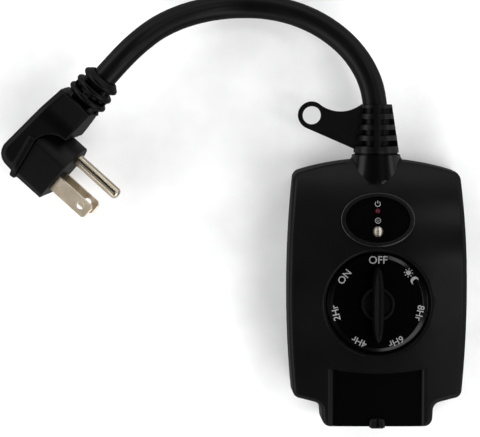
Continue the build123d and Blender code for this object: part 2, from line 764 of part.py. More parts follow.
def dial_spindle():
    spindle = spindle_shape(0.0, rotor_low_z)
    clip_z = cup_floor_z - 0.2 - clip_thickness
    groove = post(0, 0, clip_radius, clip_z, clip_z + clip_thickness)
    groove = groove - post(0, 0, clip_groove_radius, clip_z - 1, clip_z + 2)
    return spindle - groove


def spindle_clip():
    # E-clip that holds the dial's boss down
    clip_z = cup_floor_z - 0.2 - clip_thickness
    ring = post(0, 0, clip_radius, clip_z, clip_z + clip_thickness)
    inner_radius = clip_radius - clip_ring_width
    ring = ring - post(0, 0, inner_radius, clip_z - 1, clip_z + 2)
    for turn in (0, 120, 240):
        finger = box(-1.1, 1.1, 1.6, inner_radius + 0.6, clip_z, clip_z + clip_thickness)
        ring = ring + Rot(0, 0, turn) * finger
    ring = ring - post(0, 0, clip_groove_radius, clip_z - 1, clip_z + 2)
    return ring - box(-2.4, 2.4, -clip_radius - 2, -inner_radius + 0.6, clip_z - 1, clip_z + 2)


def dial_seal():
    centre = boss_radius - seal_section_radius
    return Pos(0, 0, seal_z) * Torus(centre, seal_section_radius)


# ================================================================ rotary switch
def switch_base():
    cup = post(0, 0, switch_radius, board_top_z, switch_top_z - switch_lid_thickness)
    cup = cup - post(0, 0, switch_radius - switch_cup_wall, board_top_z + switch_cup_wall, switch_top_z)
    pivot = post(0, 0, 2.0, board_top_z, rotor_low_z - 0.3)
    return cup + pivot - post(0, 0, 1.0, board_top_z - 1, board_top_z + 0.6)


def switch_lid():
    lid = post(0, 0, switch_radius, switch_top_z - switch_lid_thickness, switch_top_z)
    rim = switch_radius - switch_cup_wall
    skirt = post(0, 0, rim, switch_top_z - switch_lid_thickness - 1, switch_top_z - switch_lid_thickness)
    skirt = skirt - post(0, 0, rim - 1.0, switch_top_z - 4, switch_top_z)
    return lid + skirt - post(0, 0, spindle_radius + 0.4, switch_top_z - 4, switch_top_z + 1)


def switch_contacts():
    # one fixed contact for each dial position
    floor_z = board_top_z + switch_cup_wall
    pads = []
    for index in range(position_count):
        angle = index * 2 * pi / position_count
        x, y = contact_radius * sin(angle), contact_radius * cos(angle)
        pads.append(post(x, y, contact_pad_radius, floor_z, floor_z + contact_height))
    return together(pads)


def switch_rotor():
    top_z = rotor_low_z + rotor_thickness
    rotor = post(0, 0, rotor_radius, rotor_low_z, top_z)
    rotor = rotor + post(0, 0, rotor_hub_radius, rotor_low_z, top_z + rotor_hub_height)
    for index in range(position_count):
        # detent notches round the rim
        angle = index * 2 * pi / position_count
        x, y = rotor_radius * sin(angle), rotor_radius * cos(angle)
        rotor = rotor - post(x, y, detent_radius, rotor_low_z - 1, top_z + 1)
    return rotor - spindle_shape(0.0, rotor_low_z - 5)


def rotor_wiper():
    # sprung bridge under the rotor that sweeps the contacts
    half, low_z = contact_pad_radius, rotor_low_z - wiper_thickness
    strip = box(-half, half, spindle_radius + 0.2, contact_radius + 1.0, low_z, rotor_low_z)
    tip_z = board_top_z + switch_cup_wall + contact_height + wiper_gap
    return strip + post(0, contact_radius, half - 0.1, tip_z, rotor_low_z)


# ================================================================ board and what stands on it
def main_board():
    board = box(-board_half_width, board_half_width, board_low_y, board_high_y, board_bottom_z, board_top_z)
    for x in (-board_post_x, board_post_x):
        for y in (board_post_low_y, board_post_high_y):
            board = board - post(x, y, clearance_radius, 0, face_z)
    return board


def board_screws():
    screws = []
    for x in (-board_post_x, board_post_x):
        for y in (board_post_low_y, board_post_high_y):
            screws.append(small_screw(x, y, board_bottom_z, board_screw_length, up=-1))
    return together(screws)


def hung_box(place, size):
    # a moulded part hung under the board
    body = Pos(*place, board_bottom_z - size[2] / 2) * Box(*size)
    return fillet(body.edges().filter_by(Axis.Z), part_rounding)


def relay():
    return hung_box(relay_place, relay_size)


def dropper_capacitor():
    return hung_box(film_place, film_size)


def filter_capacitors():
    cans = []
    for x, y in can_places:
        can = post(x, y, can_radius, board_bottom_z - can_height, board_bottom_z)
        cans.append(fillet(can.faces().sort_by(Axis.Z)[0].edges(), part_rounding))
    return together(cans)


def varistor():
    # upright disc with its two leads
    x, y = varistor_place
    z = board_bottom_z - varistor_drop
    disc = Pos(x, y, z) * Rot(90, 0, 0) * Cylinder(varistor_radius, varistor_thickness)
    disc = fillet(disc.edges().filter_by(GeomType.CIRCLE), part_rounding)
    reach = varistor_radius / 2
    for lead_x in (x - reach, x + reach):
        disc = disc + post(lead_x, y, pin_radius, z + reach, board_bottom_z)
    return disc


def fuse():
    # glass body between two bent leads
    x, y = fuse_place
    reach = fuse_length / 2 + fuse_lead_reach
    z = board_bottom_z - fuse_drop
    glass = Cylinder(fuse_radius, fuse_length) + Cylinder(pin_radius, 2 * (reach + pin_radius))
    body = Pos(x, y, z) * Rot(0, 90, 0) * glass
    for lead_x in (x - reach, x + reach):
        body = body + post(lead_x, y, pin_radius, z, board_bottom_z)
    return body


def timer_chip():
    # fourteen-lead surface package on the front of the board
    x, y = chip_place
    width, length, height = chip_size
    low, high = board_top_z + chip_standoff, board_top_z + height
    body = box(x - width / 2, x + width / 2, y - length / 2, y + length / 2, low, high)
    reach, half = width / 2 + chip_lead_reach, chip_lead_width / 2
    for row in range(chip_rows):
        lead_y = y + (row - (chip_rows - 1) / 2) * chip_pitch
        lead_top = board_top_z + chip_lead_height
        body = body + box(x - reach, x + reach, lead_y - half, lead_y + half, board_top_z, lead_top)
    return body


# ================================================================ wires
core_low_z, core_high_z, core_spread = parting_z - 2.4, parting_z + 1.2, 2.1
bend_y = tail_end_y - 2.5
lane_gap = 0.3
channel_gap = 3.1
channel_x = side_half_width - wall - wire_radius - channel_gap      # between the board and the right wall
wire_bend = 1.8
line_lane_z, neutral_lane_z, ground_lane_z = 12.5, 11.5, 6.2
line_entry_inset, line_entry_y = 5.5, 24.0
line_entry_x = line_entry_inset - board_half_width
lane_turn_y = 34.0          # where the wires turn down the channel
load_gap, load_y = 1.0, -8.0
load_x = fuse_place[0] + fuse_length / 2 + fuse_lead_reach + pin_radius + load_gap + wire_radius
carrier_front_y = outlet_face_y + outlet_face_thickness
carrier_back_y = carrier_front_y + carrier_depth
contact_tail_y = carrier_back_y + 4.1
ground_tail_z = outlet_blade_z + 3.2
line_x, neutral_x = -blade_pitch / 2, blade_pitch / 2


def wire(points, bend=wire_bend):
    path = FilletPolyline(*points, radius=bend)
    start = Plane(origin=path @ 0, z_dir=path % 0)
    return sweep(start * Circle(wire_radius), path)


def line_wire():
    # from the cord to the board
    return wire([
        (-core_spread, tail_end_y, core_high_z), (-core_spread, bend_y, core_high_z),
        (-core_spread - 1.9, bend_y - lane_gap, line_lane_z), (line_entry_x, lane_turn_y - 2.0, line_lane_z),
        (line_entry_x, line_entry_y, line_lane_z), (line_entry_x, line_entry_y, board_bottom_z),
    ])


def neutral_wire():
    # from the cord to the outlet, past the board
    return wire([
        (core_spread, tail_end_y, core_high_z), (core_spread, bend_y, core_high_z),
        (core_spread + 2.3, bend_y - lane_gap, neutral_lane_z), (channel_x, lane_turn_y, neutral_lane_z),
        (channel_x, load_y, neutral_lane_z), (neutral_x, load_y - 6.5, outlet_blade_z),
        (neutral_x, contact_tail_y, outlet_blade_z),
    ])


def ground_wire():
    # from the cord to the outlet, under the neutral wire
    return wire([
        (0.0, tail_end_y, core_low_z), (0.0, bend_y, core_low_z), (0.6, bend_y - lane_gap, ground_lane_z),
        (channel_x, lane_turn_y - 2.5, ground_lane_z), (channel_x, load_y + 6.0, ground_lane_z),
        (0.0, load_y - 1.0, ground_tail_z), (0.0, contact_tail_y, ground_tail_z),
    ])


def load_wire():
    # from the board's relay to the outlet
    return wire([
        (load_x, load_y, board_bottom_z), (load_x, load_y, outlet_blade_z + 1.0),
        (line_x, load_y - 7.0, outlet_blade_z), (line_x, contact_tail_y, outlet_blade_z),
    ], wire_bend - 0.2)


# ================================================================ outlet
def outlet_face():
    half = outlet_cavity_half_width - outlet_fit
    low, high = outlet_cavity_low_z + outlet_fit, outlet_cavity_high_z - outlet_fit
    plate = box(-half, half, outlet_face_y, carrier_front_y, low, high)
    plate = fillet(plate.edges().filter_by(Axis.Y), 1.0)
    for x, height in ((line_x, line_slot_height), (neutral_x, neutral_slot_height)):
        plate = plate - box(
            x - slot_width / 2, x + slot_width / 2, outlet_face_y - 1, carrier_front_y + 1,
            blade_line_z - height / 2, blade_line_z + height / 2,
        )
    return plate - rod_y(0, ground_line_z, ground_hole_radius, outlet_face_y - 1, carrier_front_y + 1)


def contact_pocket(x, margin):
    half = leaf_gap / 2 + leaf_thickness + margin
    rise = leaf_height / 2 + margin
    low, high = blade_line_z - rise, blade_line_z + rise
    return box(x - half, x + half, carrier_front_y - 1, carrier_back_y + 1, low, high)


def outlet_carrier():
    half = carrier_half_width
    block = box(-half, half, carrier_front_y, carrier_back_y, carrier_low_z, carrier_high_z)
    block = fillet(block.edges().filter_by(Axis.Y), 2.0)
    for x in (line_x, neutral_x):
        block = block - contact_pocket(x, 0.9)
    return block - rod_y(0, ground_line_z, sleeve_outer + 0.3, carrier_front_y - 1, carrier_back_y + 1)


def blade_contact(x):
    # two sprung leaves on a back plate, with a crimp for the wire
    low, high = blade_line_z - leaf_height / 2, blade_line_z + leaf_height / 2
    inner = leaf_gap / 2
    outer = inner + leaf_thickness
    front, back = carrier_front_y + strap_thickness, carrier_back_y + strap_thickness
    plate = box(x - leaf_height / 2, x + leaf_height / 2, carrier_back_y, back, low, high)
    leaves = box(x - outer, x - inner, front, back, low, high)
    leaves = leaves + box(x + inner, x + outer, front, back, low, high)
    crimp = rod_y(x, outlet_blade_z, wire_radius + 0.5, back, contact_tail_y)
    return plate + leaves + crimp


def ground_contact():
    # split sleeve with a strap bent down the back of the carrier
    front, back = carrier_front_y + strap_thickness, carrier_back_y + strap_thickness
    half = strap_half_width
    sleeve = rod_y(0, ground_line_z, sleeve_outer, front, back)
    sleeve = sleeve - rod_y(0, ground_line_z, sleeve_inner, carrier_front_y, carrier_back_y)
    sleeve = sleeve - box(-0.4, 0.4, carrier_front_y, carrier_back_y - 2, ground_line_z, ground_line_z + 5)
    strap = box(-half, half, carrier_back_y, back, ground_tail_z - wire_radius - 0.2, ground_line_z)
    crimp = rod_y(0, ground_tail_z, wire_radius + 0.4, back, contact_tail_y)
    return sleeve + strap + crimp


# ================================================================ outlet cover
cover_outer_y = outlet_face_y - cover_clearance - cover_seal_thickness - cover_thickness
cover_inner_y = cover_outer_y + cover_thickness
cover_half_width = outlet_cavity_half_width - cover_clearance
cover_top_z = outlet_cavity_high_z - cover_clearance


def outlet_cover():
    plate = box(-cover_half_width, cover_half_width, cover_outer_y, cover_inner_y, hinge_z, cover_top_z)
    plate = fillet(plate.edges().filter_by(Axis.Y).group_by(Axis.Z)[-1], 1.2)
    knuckle = rod_x(hinge_y, hinge_z, knuckle_radius, -cover_half_width, cover_half_width)
    cover = plate + knuckle + thumb_tab()
    for x in rib_places:
        x0, x1 = x - rib_width / 2, x + rib_width / 2
        cover = cover + box(x0, x1, cover_outer_y - rib_proud, cover_outer_y, rib_low_z, rib_high_z)
    return cover - rod_x(hinge_y, hinge_z, hinge_pin_radius + running_fit, -30, 30)


def thumb_tab():
    # neck through the notch in the front wall, and a round lip parted by a cleft for the thumb
    half, low_z = tab_half_width, pocket_floor_z + cover_clearance
    neck = box(-half, half, cover_outer_y, cover_inner_y, cover_top_z - 1, low_z + tab_thickness / 2)
    outline = Rectangle(2 * half, tab_inner_y - tab_outer_y)
    outline = Pos(0, (tab_inner_y + tab_outer_y) / 2) * fillet(outline.vertices(), tab_rounding + 0.4)
    lip = extrude(Plane.XY.offset(low_z) * outline, tab_thickness)
    lip = fillet(lip.faces().sort_by(Axis.Z)[-1].edges(), tab_rounding)
    cleft = Pos(0, tab_outer_y, low_z + cleft_floor + 2) * Box(cleft_width, 20, 4)
    return neck + lip - cleft


def cover_gasket():
    half, back_y = cover_half_width - 1.6, cover_inner_y + cover_seal_thickness
    return box(-half, half, cover_inner_y, back_y, hinge_z + 3.2, cover_top_z - 1.2)


def hinge_pin():
    return rod_x(hinge_y, hinge_z, hinge_pin_radius, -block_half_width + 1.2, block_half_width - 1.2)


# ================================================================ plug, drawn about its own axes
# +Y towards the cord from the relief's mouth, +X along the prongs, Z across the blades.
def plug_location():
    toward_cord = plug_cord_direction
    level = Vector(toward_cord.Y, -toward_cord.X, 0).normalized()
    prongs = level * cos(radians(plug_prong_rise)) + Vector(0, 0, sin(radians(plug_prong_rise)))
    across = prongs.cross(toward_cord).normalized()
    prongs = toward_cord.cross(across)
    return Plane(origin=plug_exit, x_dir=prongs, z_dir=across).location


def plug_relief():
    profile = Polyline(
        (0, 0), (plug_relief_top_radius - 1.0, 0), (plug_relief_top_radius, -1.0),
        (plug_relief_low_radius, -plug_relief_length), (0, -plug_relief_length), close=True,
    )
    relief = revolve(make_face(profile), Axis.Y)
    for index in range(3):
        y = -2.6 - index * 4.1
        radius = plug_relief_top_radius + 0.4 * index
        ring = Torus(radius, 1.1)
        relief = relief + Pos(0, y + 0.2, 0) * Rot(90, 0, 0) * ring
        for turn in (0, 90, 180, 270):
            window = box(-4.2, 4.2, y - 2.6, y - 1.2, 5.0, 12)
            relief = relief - Rot(0, turn + 45 * (index % 2), 0) * window
    return relief


def plug_seam():
    # where the moulded body meets the core, in side view from the far end to the step
    turn_x, turn_y = plug_seam_turn
    return [
        Line((plug_seam_x, plug_core_far), plug_seam_turn),
        ThreePointArc(plug_seam_turn, (turn_x + 2.6, turn_y + 5.2), (plug_step_x, plug_core_near)),
    ]


def plug_body_side():
    # side view of the moulded body: sloping back, rounded far end
    back = Line((plug_back_x, -plug_relief_length), plug_heel)
    return make_face([
        Line((plug_step_x, plug_core_near), (plug_step_x, -plug_relief_length)),
        Line((plug_step_x, -plug_relief_length), (plug_back_x, -plug_relief_length)),
        back,
        TangentArc(plug_heel, plug_toe, tangent=back % 1),
        Line(plug_toe, (plug_seam_x, plug_core_far)),
    ] + plug_seam())


def plug_body_plan():
    # seen along the prongs: narrow at the relief, wide at the blades, with a rounded far end
    half, neck, far = plug_body_half_width, plug_relief_low_radius + 0.4, plug_core_far - 2.0
    face = make_face([
        Line((-plug_relief_length, neck), (-24.0, half)),
        Line((-24.0, half), (far, half)),
        Line((far, half), (far, -half)),
        Line((far, -half), (-24.0, -half)),
        Line((-24.0, -half), (-plug_relief_length, -neck)),
        Line((-plug_relief_length, -neck), (-plug_relief_length, neck)),
    ])
    for side in (-1, 1):
        face = fillet(corner(face, -24.0, side * half), 14.0)
        face = fillet(corner(face, far, side * half), 7.0)
    return face


def along_prongs(sketch, x0, x1):
    # a (Y, Z) sketch carried from x0 to x1
    return Pos(x0, 0, 0) * extrude(Plane.YZ * sketch, x1 - x0, dir=(1, 0, 0))


def plug_body():
    half = plug_body_half_width
    side = extrude(Pos(0, 0, -half) * plug_body_side(), 2 * half, dir=(0, 0, 1))
    body = side & along_prongs(plug_body_plan(), -20, 20)
    back = [e for e in body.edges() if e.center().X < -8.5 and abs(e.center().Z) > 7 and e.length > 3]
    body = fillet(back, plug_back_fillet)
    return (body + plug_bead() + plug_relief()) - plug_bore()


def plug_bead():
    # raised bead along the seam, round the far end
    start, turn = Vector(plug_seam_x, plug_core_far), Vector(*plug_seam_turn)
    across = (turn - start).rotate(Axis.Z, 90).normalized() * plug_bead_width
    beyond = (start - turn).normalized() * plug_bead_height
    band = make_face(Polyline(start + beyond, turn, turn + across, start + beyond + across, close=True))
    reach = plug_body_half_width + 3
    bead = extrude(Pos(0, 0, -reach) * band, 2 * reach, dir=(0, 0, 1))
    return bead & along_prongs(offset(plug_body_plan(), plug_bead_height), -20, 20)


def plug_bore():
    return rod_y(0, 0, cord_diameter / 2 + plug_bore_fit, -plug_bore_depth, 1.0)


def plug_core_blank():
    # the block that carries the prongs: arched at the ground pin, square at the blades
    half = plug_core_half_width
    side = make_face([
        Line((plug_step_x, plug_core_near), (plug_face_x, plug_core_near)),
        Line((plug_face_x, plug_core_near), (plug_face_x, plug_core_far)),
        Line((plug_face_x, plug_core_far), (plug_seam_x, plug_core_far)),
    ] + plug_seam())
    block = extrude(Pos(0, 0, -half) * side, 2 * half, dir=(0, 0, 1))
    plan = make_face([
        Line((plug_core_near - 9.0, half), (plug_core_far, half)),
        Line((plug_core_far, half), (plug_core_far, -half)),
        Line((plug_core_far, -half), (plug_core_near - 9.0, -half)),
        ThreePointArc((plug_core_near - 9.0, -half), (plug_core_near, 0), (plug_core_near - 9.0, half)),
    ])
    for side_sign in (-1, 1):
        plan = fillet(corner(plan, plug_core_far, side_sign * half), 2.4)
    return block & along_prongs(plan, -20, 20)


def plug_core():
    core = plug_core_blank()
    for prong in prong_shapes():
        core = core - prong
    return core


def blade(z):
    body = Box(prong_root + blade_length, blade_width, blade_thickness)
    body = Pos(plug_face_x + (blade_length - prong_root) / 2, blade_y, z) * body
    body = chamfer(body.edges().filter_by(Axis.Z).group_by(Axis.X)[-1], blade_corner)
    body = chamfer(body.edges().filter_by(Axis.Y).group_by(Axis.X)[-1], blade_tip_bevel)
    hole_x = plug_face_x + blade_length - blade_hole_inset
    return body - Pos(hole_x, blade_y, z) * Cylinder(blade_hole_radius, 4)


def ground_prong():
    # round-ended pin on a thinner moulded-in root
    pin = Rot(0, 90, 0) * Cylinder(ground_pin_radius, ground_pin_length)
    pin = fillet(pin.edges().group_by(Axis.X)[-1], ground_pin_radius - 0.5)
    root = Rot(0, 90, 0) * Cylinder(ground_root_radius, prong_root)
    pin = Pos(plug_face_x + ground_pin_length / 2, ground_pin_y, 0) * pin
    return pin + Pos(plug_face_x - prong_root / 2, ground_pin_y, 0) * root


def prong_shapes():
    return blade(blade_pitch / 2), blade(-blade_pitch / 2), ground_prong()


# ================================================================ everything, node by node
builders = {
    "front_housing": front_housing,
    "rear_housing": rear_housing,
    "housing_gasket": gasket_form,
    "housing_screws": housing_screws,
    "sensor_window": sensor_window,
    "power_lamp": lambda: lamp(power_lamp_y, power_lamp_radius),
    "outlet_lamp": lambda: lamp(outlet_lamp_y, outlet_lamp_radius),
    "photocell": photocell,
    "dial": dial,
    "dial_spindle": dial_spindle,
    "dial_seal": dial_seal,
    "spindle_clip": spindle_clip,
    "switch_base": switch_base,
    "switch_lid": switch_lid,
    "switch_contacts": switch_contacts,
    "switch_rotor": switch_rotor,
    "rotor_wiper": rotor_wiper,
    "main_board": main_board,
    "board_screws": board_screws,
    "relay": relay,
    "dropper_capacitor": dropper_capacitor,
    "filter_capacitors": filter_capacitors,
    "varistor": varistor,
    "fuse": fuse,
    "timer_chip": timer_chip,
    "strain_relief": strain_relief,
    "cord_tail": cord_tail,
    "cord_clamp": cord_clamp,
    "clamp_screws": clamp_screws,
    "line_wire": line_wire,
    "neutral_wire": neutral_wire,
    "ground_wire": ground_wire,
    "load_wire": load_wire,
    "outlet_face": outlet_face,
    "outlet_carrier": outlet_carrier,
    "line_contact": lambda: blade_contact(line_x),
    "neutral_contact": lambda: blade_contact(neutral_x),
    "ground_contact": ground_contact,
    "outlet_cover": outlet_cover,
    "cover_gasket": cover_gasket,
    "hinge_pin": hinge_pin,
    "power_cord": power_cord,
}

plug_builders = {
    "plug_body": plug_body,
    "plug_core": plug_core,
    "line_blade": lambda: prong_shapes()[0],
    "neutral_blade": lambda: prong_shapes()[1],
    "ground_pin": ground_prong,
}

for node, build in builders.items():
    print("building", node)
    save(node, build())

for node, build in plug_builders.items():
    print("building", node)
    save(node, plug_location() * build())
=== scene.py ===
import bpy
import bmesh
import json
import math
from mathutils import Matrix, Vector
from mathutils.bvhtree import BVHTree


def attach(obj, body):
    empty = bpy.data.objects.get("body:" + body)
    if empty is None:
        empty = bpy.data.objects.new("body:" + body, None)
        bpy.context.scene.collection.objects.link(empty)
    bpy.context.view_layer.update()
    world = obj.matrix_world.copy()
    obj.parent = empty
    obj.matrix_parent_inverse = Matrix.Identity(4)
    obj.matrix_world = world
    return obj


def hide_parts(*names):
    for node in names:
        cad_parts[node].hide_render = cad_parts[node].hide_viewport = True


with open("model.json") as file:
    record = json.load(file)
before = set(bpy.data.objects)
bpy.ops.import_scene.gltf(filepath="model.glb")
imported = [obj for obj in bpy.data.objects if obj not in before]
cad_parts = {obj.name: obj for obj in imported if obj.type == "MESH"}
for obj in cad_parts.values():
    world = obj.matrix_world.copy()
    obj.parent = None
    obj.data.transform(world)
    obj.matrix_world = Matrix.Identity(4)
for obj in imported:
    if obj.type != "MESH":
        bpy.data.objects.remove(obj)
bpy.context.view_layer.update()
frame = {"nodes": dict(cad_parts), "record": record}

# A plug-in timer switch lying on its back on a pale floor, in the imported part's frame: the origin is on
# the back, under the dial's axis, +Z comes out of the front and +Y points towards the cord. Lengths are in
# metres, except those of the cord's route, the dial, its marks and the signs, which are in millimetres.
mm = 0.001
weldDistance = 0.000001     # vertices nearer to each other than this are one
nodes = frame["nodes"]
bodyOf = {}
for jointBody, members in frame["record"]["behaviour"]["bodies"].items():
    for member in members:
        bodyOf[member] = jointBody
slotOf = {part["node"]: part["material_slot"] for part in frame["record"]["subparts"]}
cordHeight = 0.0185     # the axis of the cord, the neck and the strain relief, over the back

# camera, light and floor
print("camera, light and floor")

cameraSetup = {
    "place": (-0.05449, 0.11068, 1.01492),
    "aim": (-0.05449, 0.03222, 0.018),
    "lens": 186.75,
    "sensor": 36.0,
    "clip": (0.05, 20.0),
}

cameraData = bpy.data.cameras.new("productCamera")
cameraData.lens = cameraSetup["lens"]
cameraData.sensor_width = cameraSetup["sensor"]
cameraData.clip_start, cameraData.clip_end = cameraSetup["clip"]
camera = bpy.data.objects.new("productCamera", cameraData)
bpy.context.scene.collection.objects.link(camera)
camera.location = cameraSetup["place"]
back = (Vector(cameraSetup["place"]) - Vector(cameraSetup["aim"])).normalized()
across = Vector((0.0, 1.0, 0.0)).cross(back).normalized()
camera.rotation_mode = "QUATERNION"
camera.rotation_quaternion = Matrix((across, back.cross(across), back)).transposed().to_quaternion()
bpy.context.scene.camera = camera
bpy.context.scene.view_settings.view_transform = "Standard"

studio = {
    "sky": [
        # height, radiance: dim at the floor's edge, bright round the sides, dark overhead
        (0.0, 0.7), (0.12, 1.4), (0.22, 3.3), (0.4, 3.0), (0.58, 0.05),
    ],
    "skyTint": (1.0, 1.005, 1.01),
    "floorSize": 30.0,
    "floorDrop": 0.0001,
    "floorColour": (0.96, 0.96, 0.96),
    "lamps": [
        # name, place, aimed at, width, height, watts
        ("farLeftSoftbox", (-1.2, 1.0, 0.7), (-0.05, 0.03, 0.03), 1.2, 0.8, 8.0),
        ("leftSoftbox", (-1.3, -0.3, 0.65), (-0.08, 0.03, 0.03), 1.0, 0.8, 7.0),
        ("frontRightSoftbox", (0.7, -1.05, 1.0), (-0.03, 0.0, 0.03), 1.2, 0.6, 11.0),
        ("rightSoftbox", (0.52, -0.1, 0.98), (0.0, 0.03, 0.03), 0.25, 0.5, 2.8),
        ("backRightSoftbox", (0.45, 0.72, 1.0), (0.02, 0.04, 0.03), 0.35, 0.35, 2.2),
        ("plugSoftbox", (-0.51, -0.11, 0.93), (-0.117, 0.038, 0.018), 0.3, 0.3, 0.3),
    ],
}

world = bpy.data.worlds.new("studioWorld")
world.use_nodes = True
sky = world.node_tree.nodes["Background"]
direction = world.node_tree.nodes.new("ShaderNodeTexCoord")
height = world.node_tree.nodes.new("ShaderNodeSeparateXYZ")
fade = world.node_tree.nodes.new("ShaderNodeValToRGB")
while len(fade.color_ramp.elements) < len(studio["sky"]):
    fade.color_ramp.elements.new(0.5)
for stop, (rise, radiance) in zip(fade.color_ramp.elements, studio["sky"]):
    stop.position = rise
    stop.color = (*(radiance * share for share in studio["skyTint"]), 1.0)
world.node_tree.links.new(direction.outputs["Generated"], height.inputs["Vector"])
world.node_tree.links.new(height.outputs["Z"], fade.inputs["Fac"])
world.node_tree.links.new(fade.outputs["Color"], sky.inputs["Color"])
bpy.context.scene.world = world

for lampName, place, aim, width, height, watts in studio["lamps"]:
    light = bpy.data.lights.new(lampName, "AREA")
    light.shape = "RECTANGLE"
    light.size = width
    light.size_y = height
    light.energy = watts
    lightObject = bpy.data.objects.new(lampName, light)
    bpy.context.scene.collection.objects.link(lightObject)
    lightObject.location = place
    lightObject.rotation_mode = "QUATERNION"
    lightObject.rotation_quaternion = (Vector(aim) - Vector(place)).to_track_quat("-Z", "Y")


# finishes: the noise that varies tone, polish and grain, the grain's depth, rubber's bloom and clear resin
noiseLook = {
    "toneSpan": (0.35, 0.65),
    "polishSpan": (0.3, 0.7),
    "mouldedTone": 38.0,
    "mouldedPolish": 120.0,
    "mouldedDepth": 0.00006,
    "rubberTone": 90.0,
    "rubberPolish": 260.0,
    "rubberPolishSpread": (0.07, 0.05),
    "rubberGrain": 1400.0,
    "rubberStrength": 0.16,
    "rubberDepth": 0.00008,
    "bloomRoughness": 0.45,
    "metalTone": 70.0,
    "metalStrength": 0.1,
    "metalDepth": 0.00004,
    "resinPolish": 600.0,
    "resinSpread": (0.6, 1.4),
    "resinIndex": 1.5,
}


def startFinish(name, colour, roughness, metallic=0.0):
    finish = bpy.data.materials.new(name)
    finish.use_nodes = True
    shader = finish.node_tree.nodes["Principled BSDF"]
    shader.inputs["Base Color"].default_value = (*colour, 1.0)
    shader.inputs["Roughness"].default_value = roughness
    shader.inputs["Metallic"].default_value = metallic
    finish.diffuse_color = (*colour, 1.0)
    return finish, shader


def objectNoise(tree, scale, detail=2.0):
    coordinates = tree.nodes.new("ShaderNodeTexCoord")
    noise = tree.nodes.new("ShaderNodeTexNoise")
    noise.inputs["Scale"].default_value = scale
    noise.inputs["Detail"].default_value = detail
    tree.links.new(coordinates.outputs["Object"], noise.inputs["Vector"])
    return noise.outputs["Fac"]


def tintByNoise(tree, shader, fac, darkTone, lightTone):
    ramp = tree.nodes.new("ShaderNodeValToRGB")
    for element, place, tone in zip(ramp.color_ramp.elements, noiseLook["toneSpan"], (darkTone, lightTone)):
        element.position = place
        element.color = (*tone, 1.0)
    tree.links.new(fac, ramp.inputs["Fac"])
    tree.links.new(ramp.outputs["Color"], shader.inputs["Base Color"])


def roughByNoise(tree, shader, fac, smooth, rough):
    spread = tree.nodes.new("ShaderNodeMapRange")
    spread.inputs["From Min"].default_value, spread.inputs["From Max"].default_value = noiseLook["polishSpan"]
    spread.inputs["To Min"].default_value = smooth
    spread.inputs["To Max"].default_value = rough
    tree.links.new(fac, spread.inputs["Value"])
    tree.links.new(spread.outputs["Result"], shader.inputs["Roughness"])


def grainBump(tree, shader, fac, strength, depth):
    bump = tree.nodes.new("ShaderNodeBump")
    bump.inputs["Strength"].default_value = strength
    bump.inputs["Distance"].default_value = depth
    tree.links.new(fac, bump.inputs["Height"])
    tree.links.new(bump.outputs["Normal"], shader.inputs["Normal"])


def mouldedFinish(
    name, darkTone, lightTone, smooth, rough, grain=2200.0, grainStrength=0.12, gloss=0.5, skin=0.0,
):
    # gloss is the plastic's own shine, skin the weight of the thin polished skin that a mould leaves
    finish, shader = startFinish(name, lightTone, rough)
    tree = finish.node_tree
    shader.inputs["Specular IOR Level"].default_value = gloss
    shader.inputs["Coat Weight"].default_value = skin
    shader.inputs["Coat Roughness"].default_value = (smooth + rough) / 2
    tintByNoise(tree, shader, objectNoise(tree, noiseLook["mouldedTone"], 3.0), darkTone, lightTone)
    roughByNoise(tree, shader, objectNoise(tree, noiseLook["mouldedPolish"], 4.0), smooth, rough)
    grainBump(tree, shader, objectNoise(tree, grain), grainStrength, noiseLook["mouldedDepth"])
    return finish


def blackFinish(name, darkTone, lightTone, smooth, rough, skin, grain=2200.0, grainStrength=0.12):
    # black plastic shines by its thin skin alone
    return mouldedFinish(name, darkTone, lightTone, smooth, rough, grain, grainStrength, 0.0, skin)


def rubberFinish(name, darkTone, lightTone, rough, bloom=0.15, gloss=0.3, skin=0.0):
    # bloom is the dull dusty sheen of bare rubber
    finish, shader = startFinish(name, lightTone, rough)
    tree = finish.node_tree
    shader.inputs["Specular IOR Level"].default_value = gloss
    shader.inputs["Coat Weight"].default_value = skin
    shader.inputs["Coat Roughness"].default_value = rough
    shader.inputs["Sheen Weight"].default_value = bloom
    shader.inputs["Sheen Roughness"].default_value = noiseLook["bloomRoughness"]
    tintByNoise(tree, shader, objectNoise(tree, noiseLook["rubberTone"], 4.0), darkTone, lightTone)
    polish = objectNoise(tree, noiseLook["rubberPolish"], 3.0)
    below, above = noiseLook["rubberPolishSpread"]
    roughByNoise(tree, shader, polish, rough - below, rough + above)
    grain = objectNoise(tree, noiseLook["rubberGrain"], 3.0)
    grainBump(tree, shader, grain, noiseLook["rubberStrength"], noiseLook["rubberDepth"])
    return finish


def metalFinish(name, darkTone, lightTone, smooth, rough, scale=500.0):
    finish, shader = startFinish(name, lightTone, rough, 1.0)
    tree = finish.node_tree
    tintByNoise(tree, shader, objectNoise(tree, noiseLook["metalTone"], 3.0), darkTone, lightTone)
    roughByNoise(tree, shader, objectNoise(tree, scale, 4.0), smooth, rough)
    grainBump(tree, shader, objectNoise(tree, scale * 2), noiseLook["metalStrength"], noiseLook["metalDepth"])
    return finish


def resinFinish(name, colour, rough, clear):
    finish, shader = startFinish(name, colour, rough)
    shader.inputs["Transmission Weight"].default_value = clear
    shader.inputs["IOR"].default_value = noiseLook["resinIndex"]
    polish = objectNoise(finish.node_tree, noiseLook["resinPolish"])
    low, high = noiseLook["resinSpread"]
    roughByNoise(finish.node_tree, shader, polish, rough * low, rough * high)
    return finish


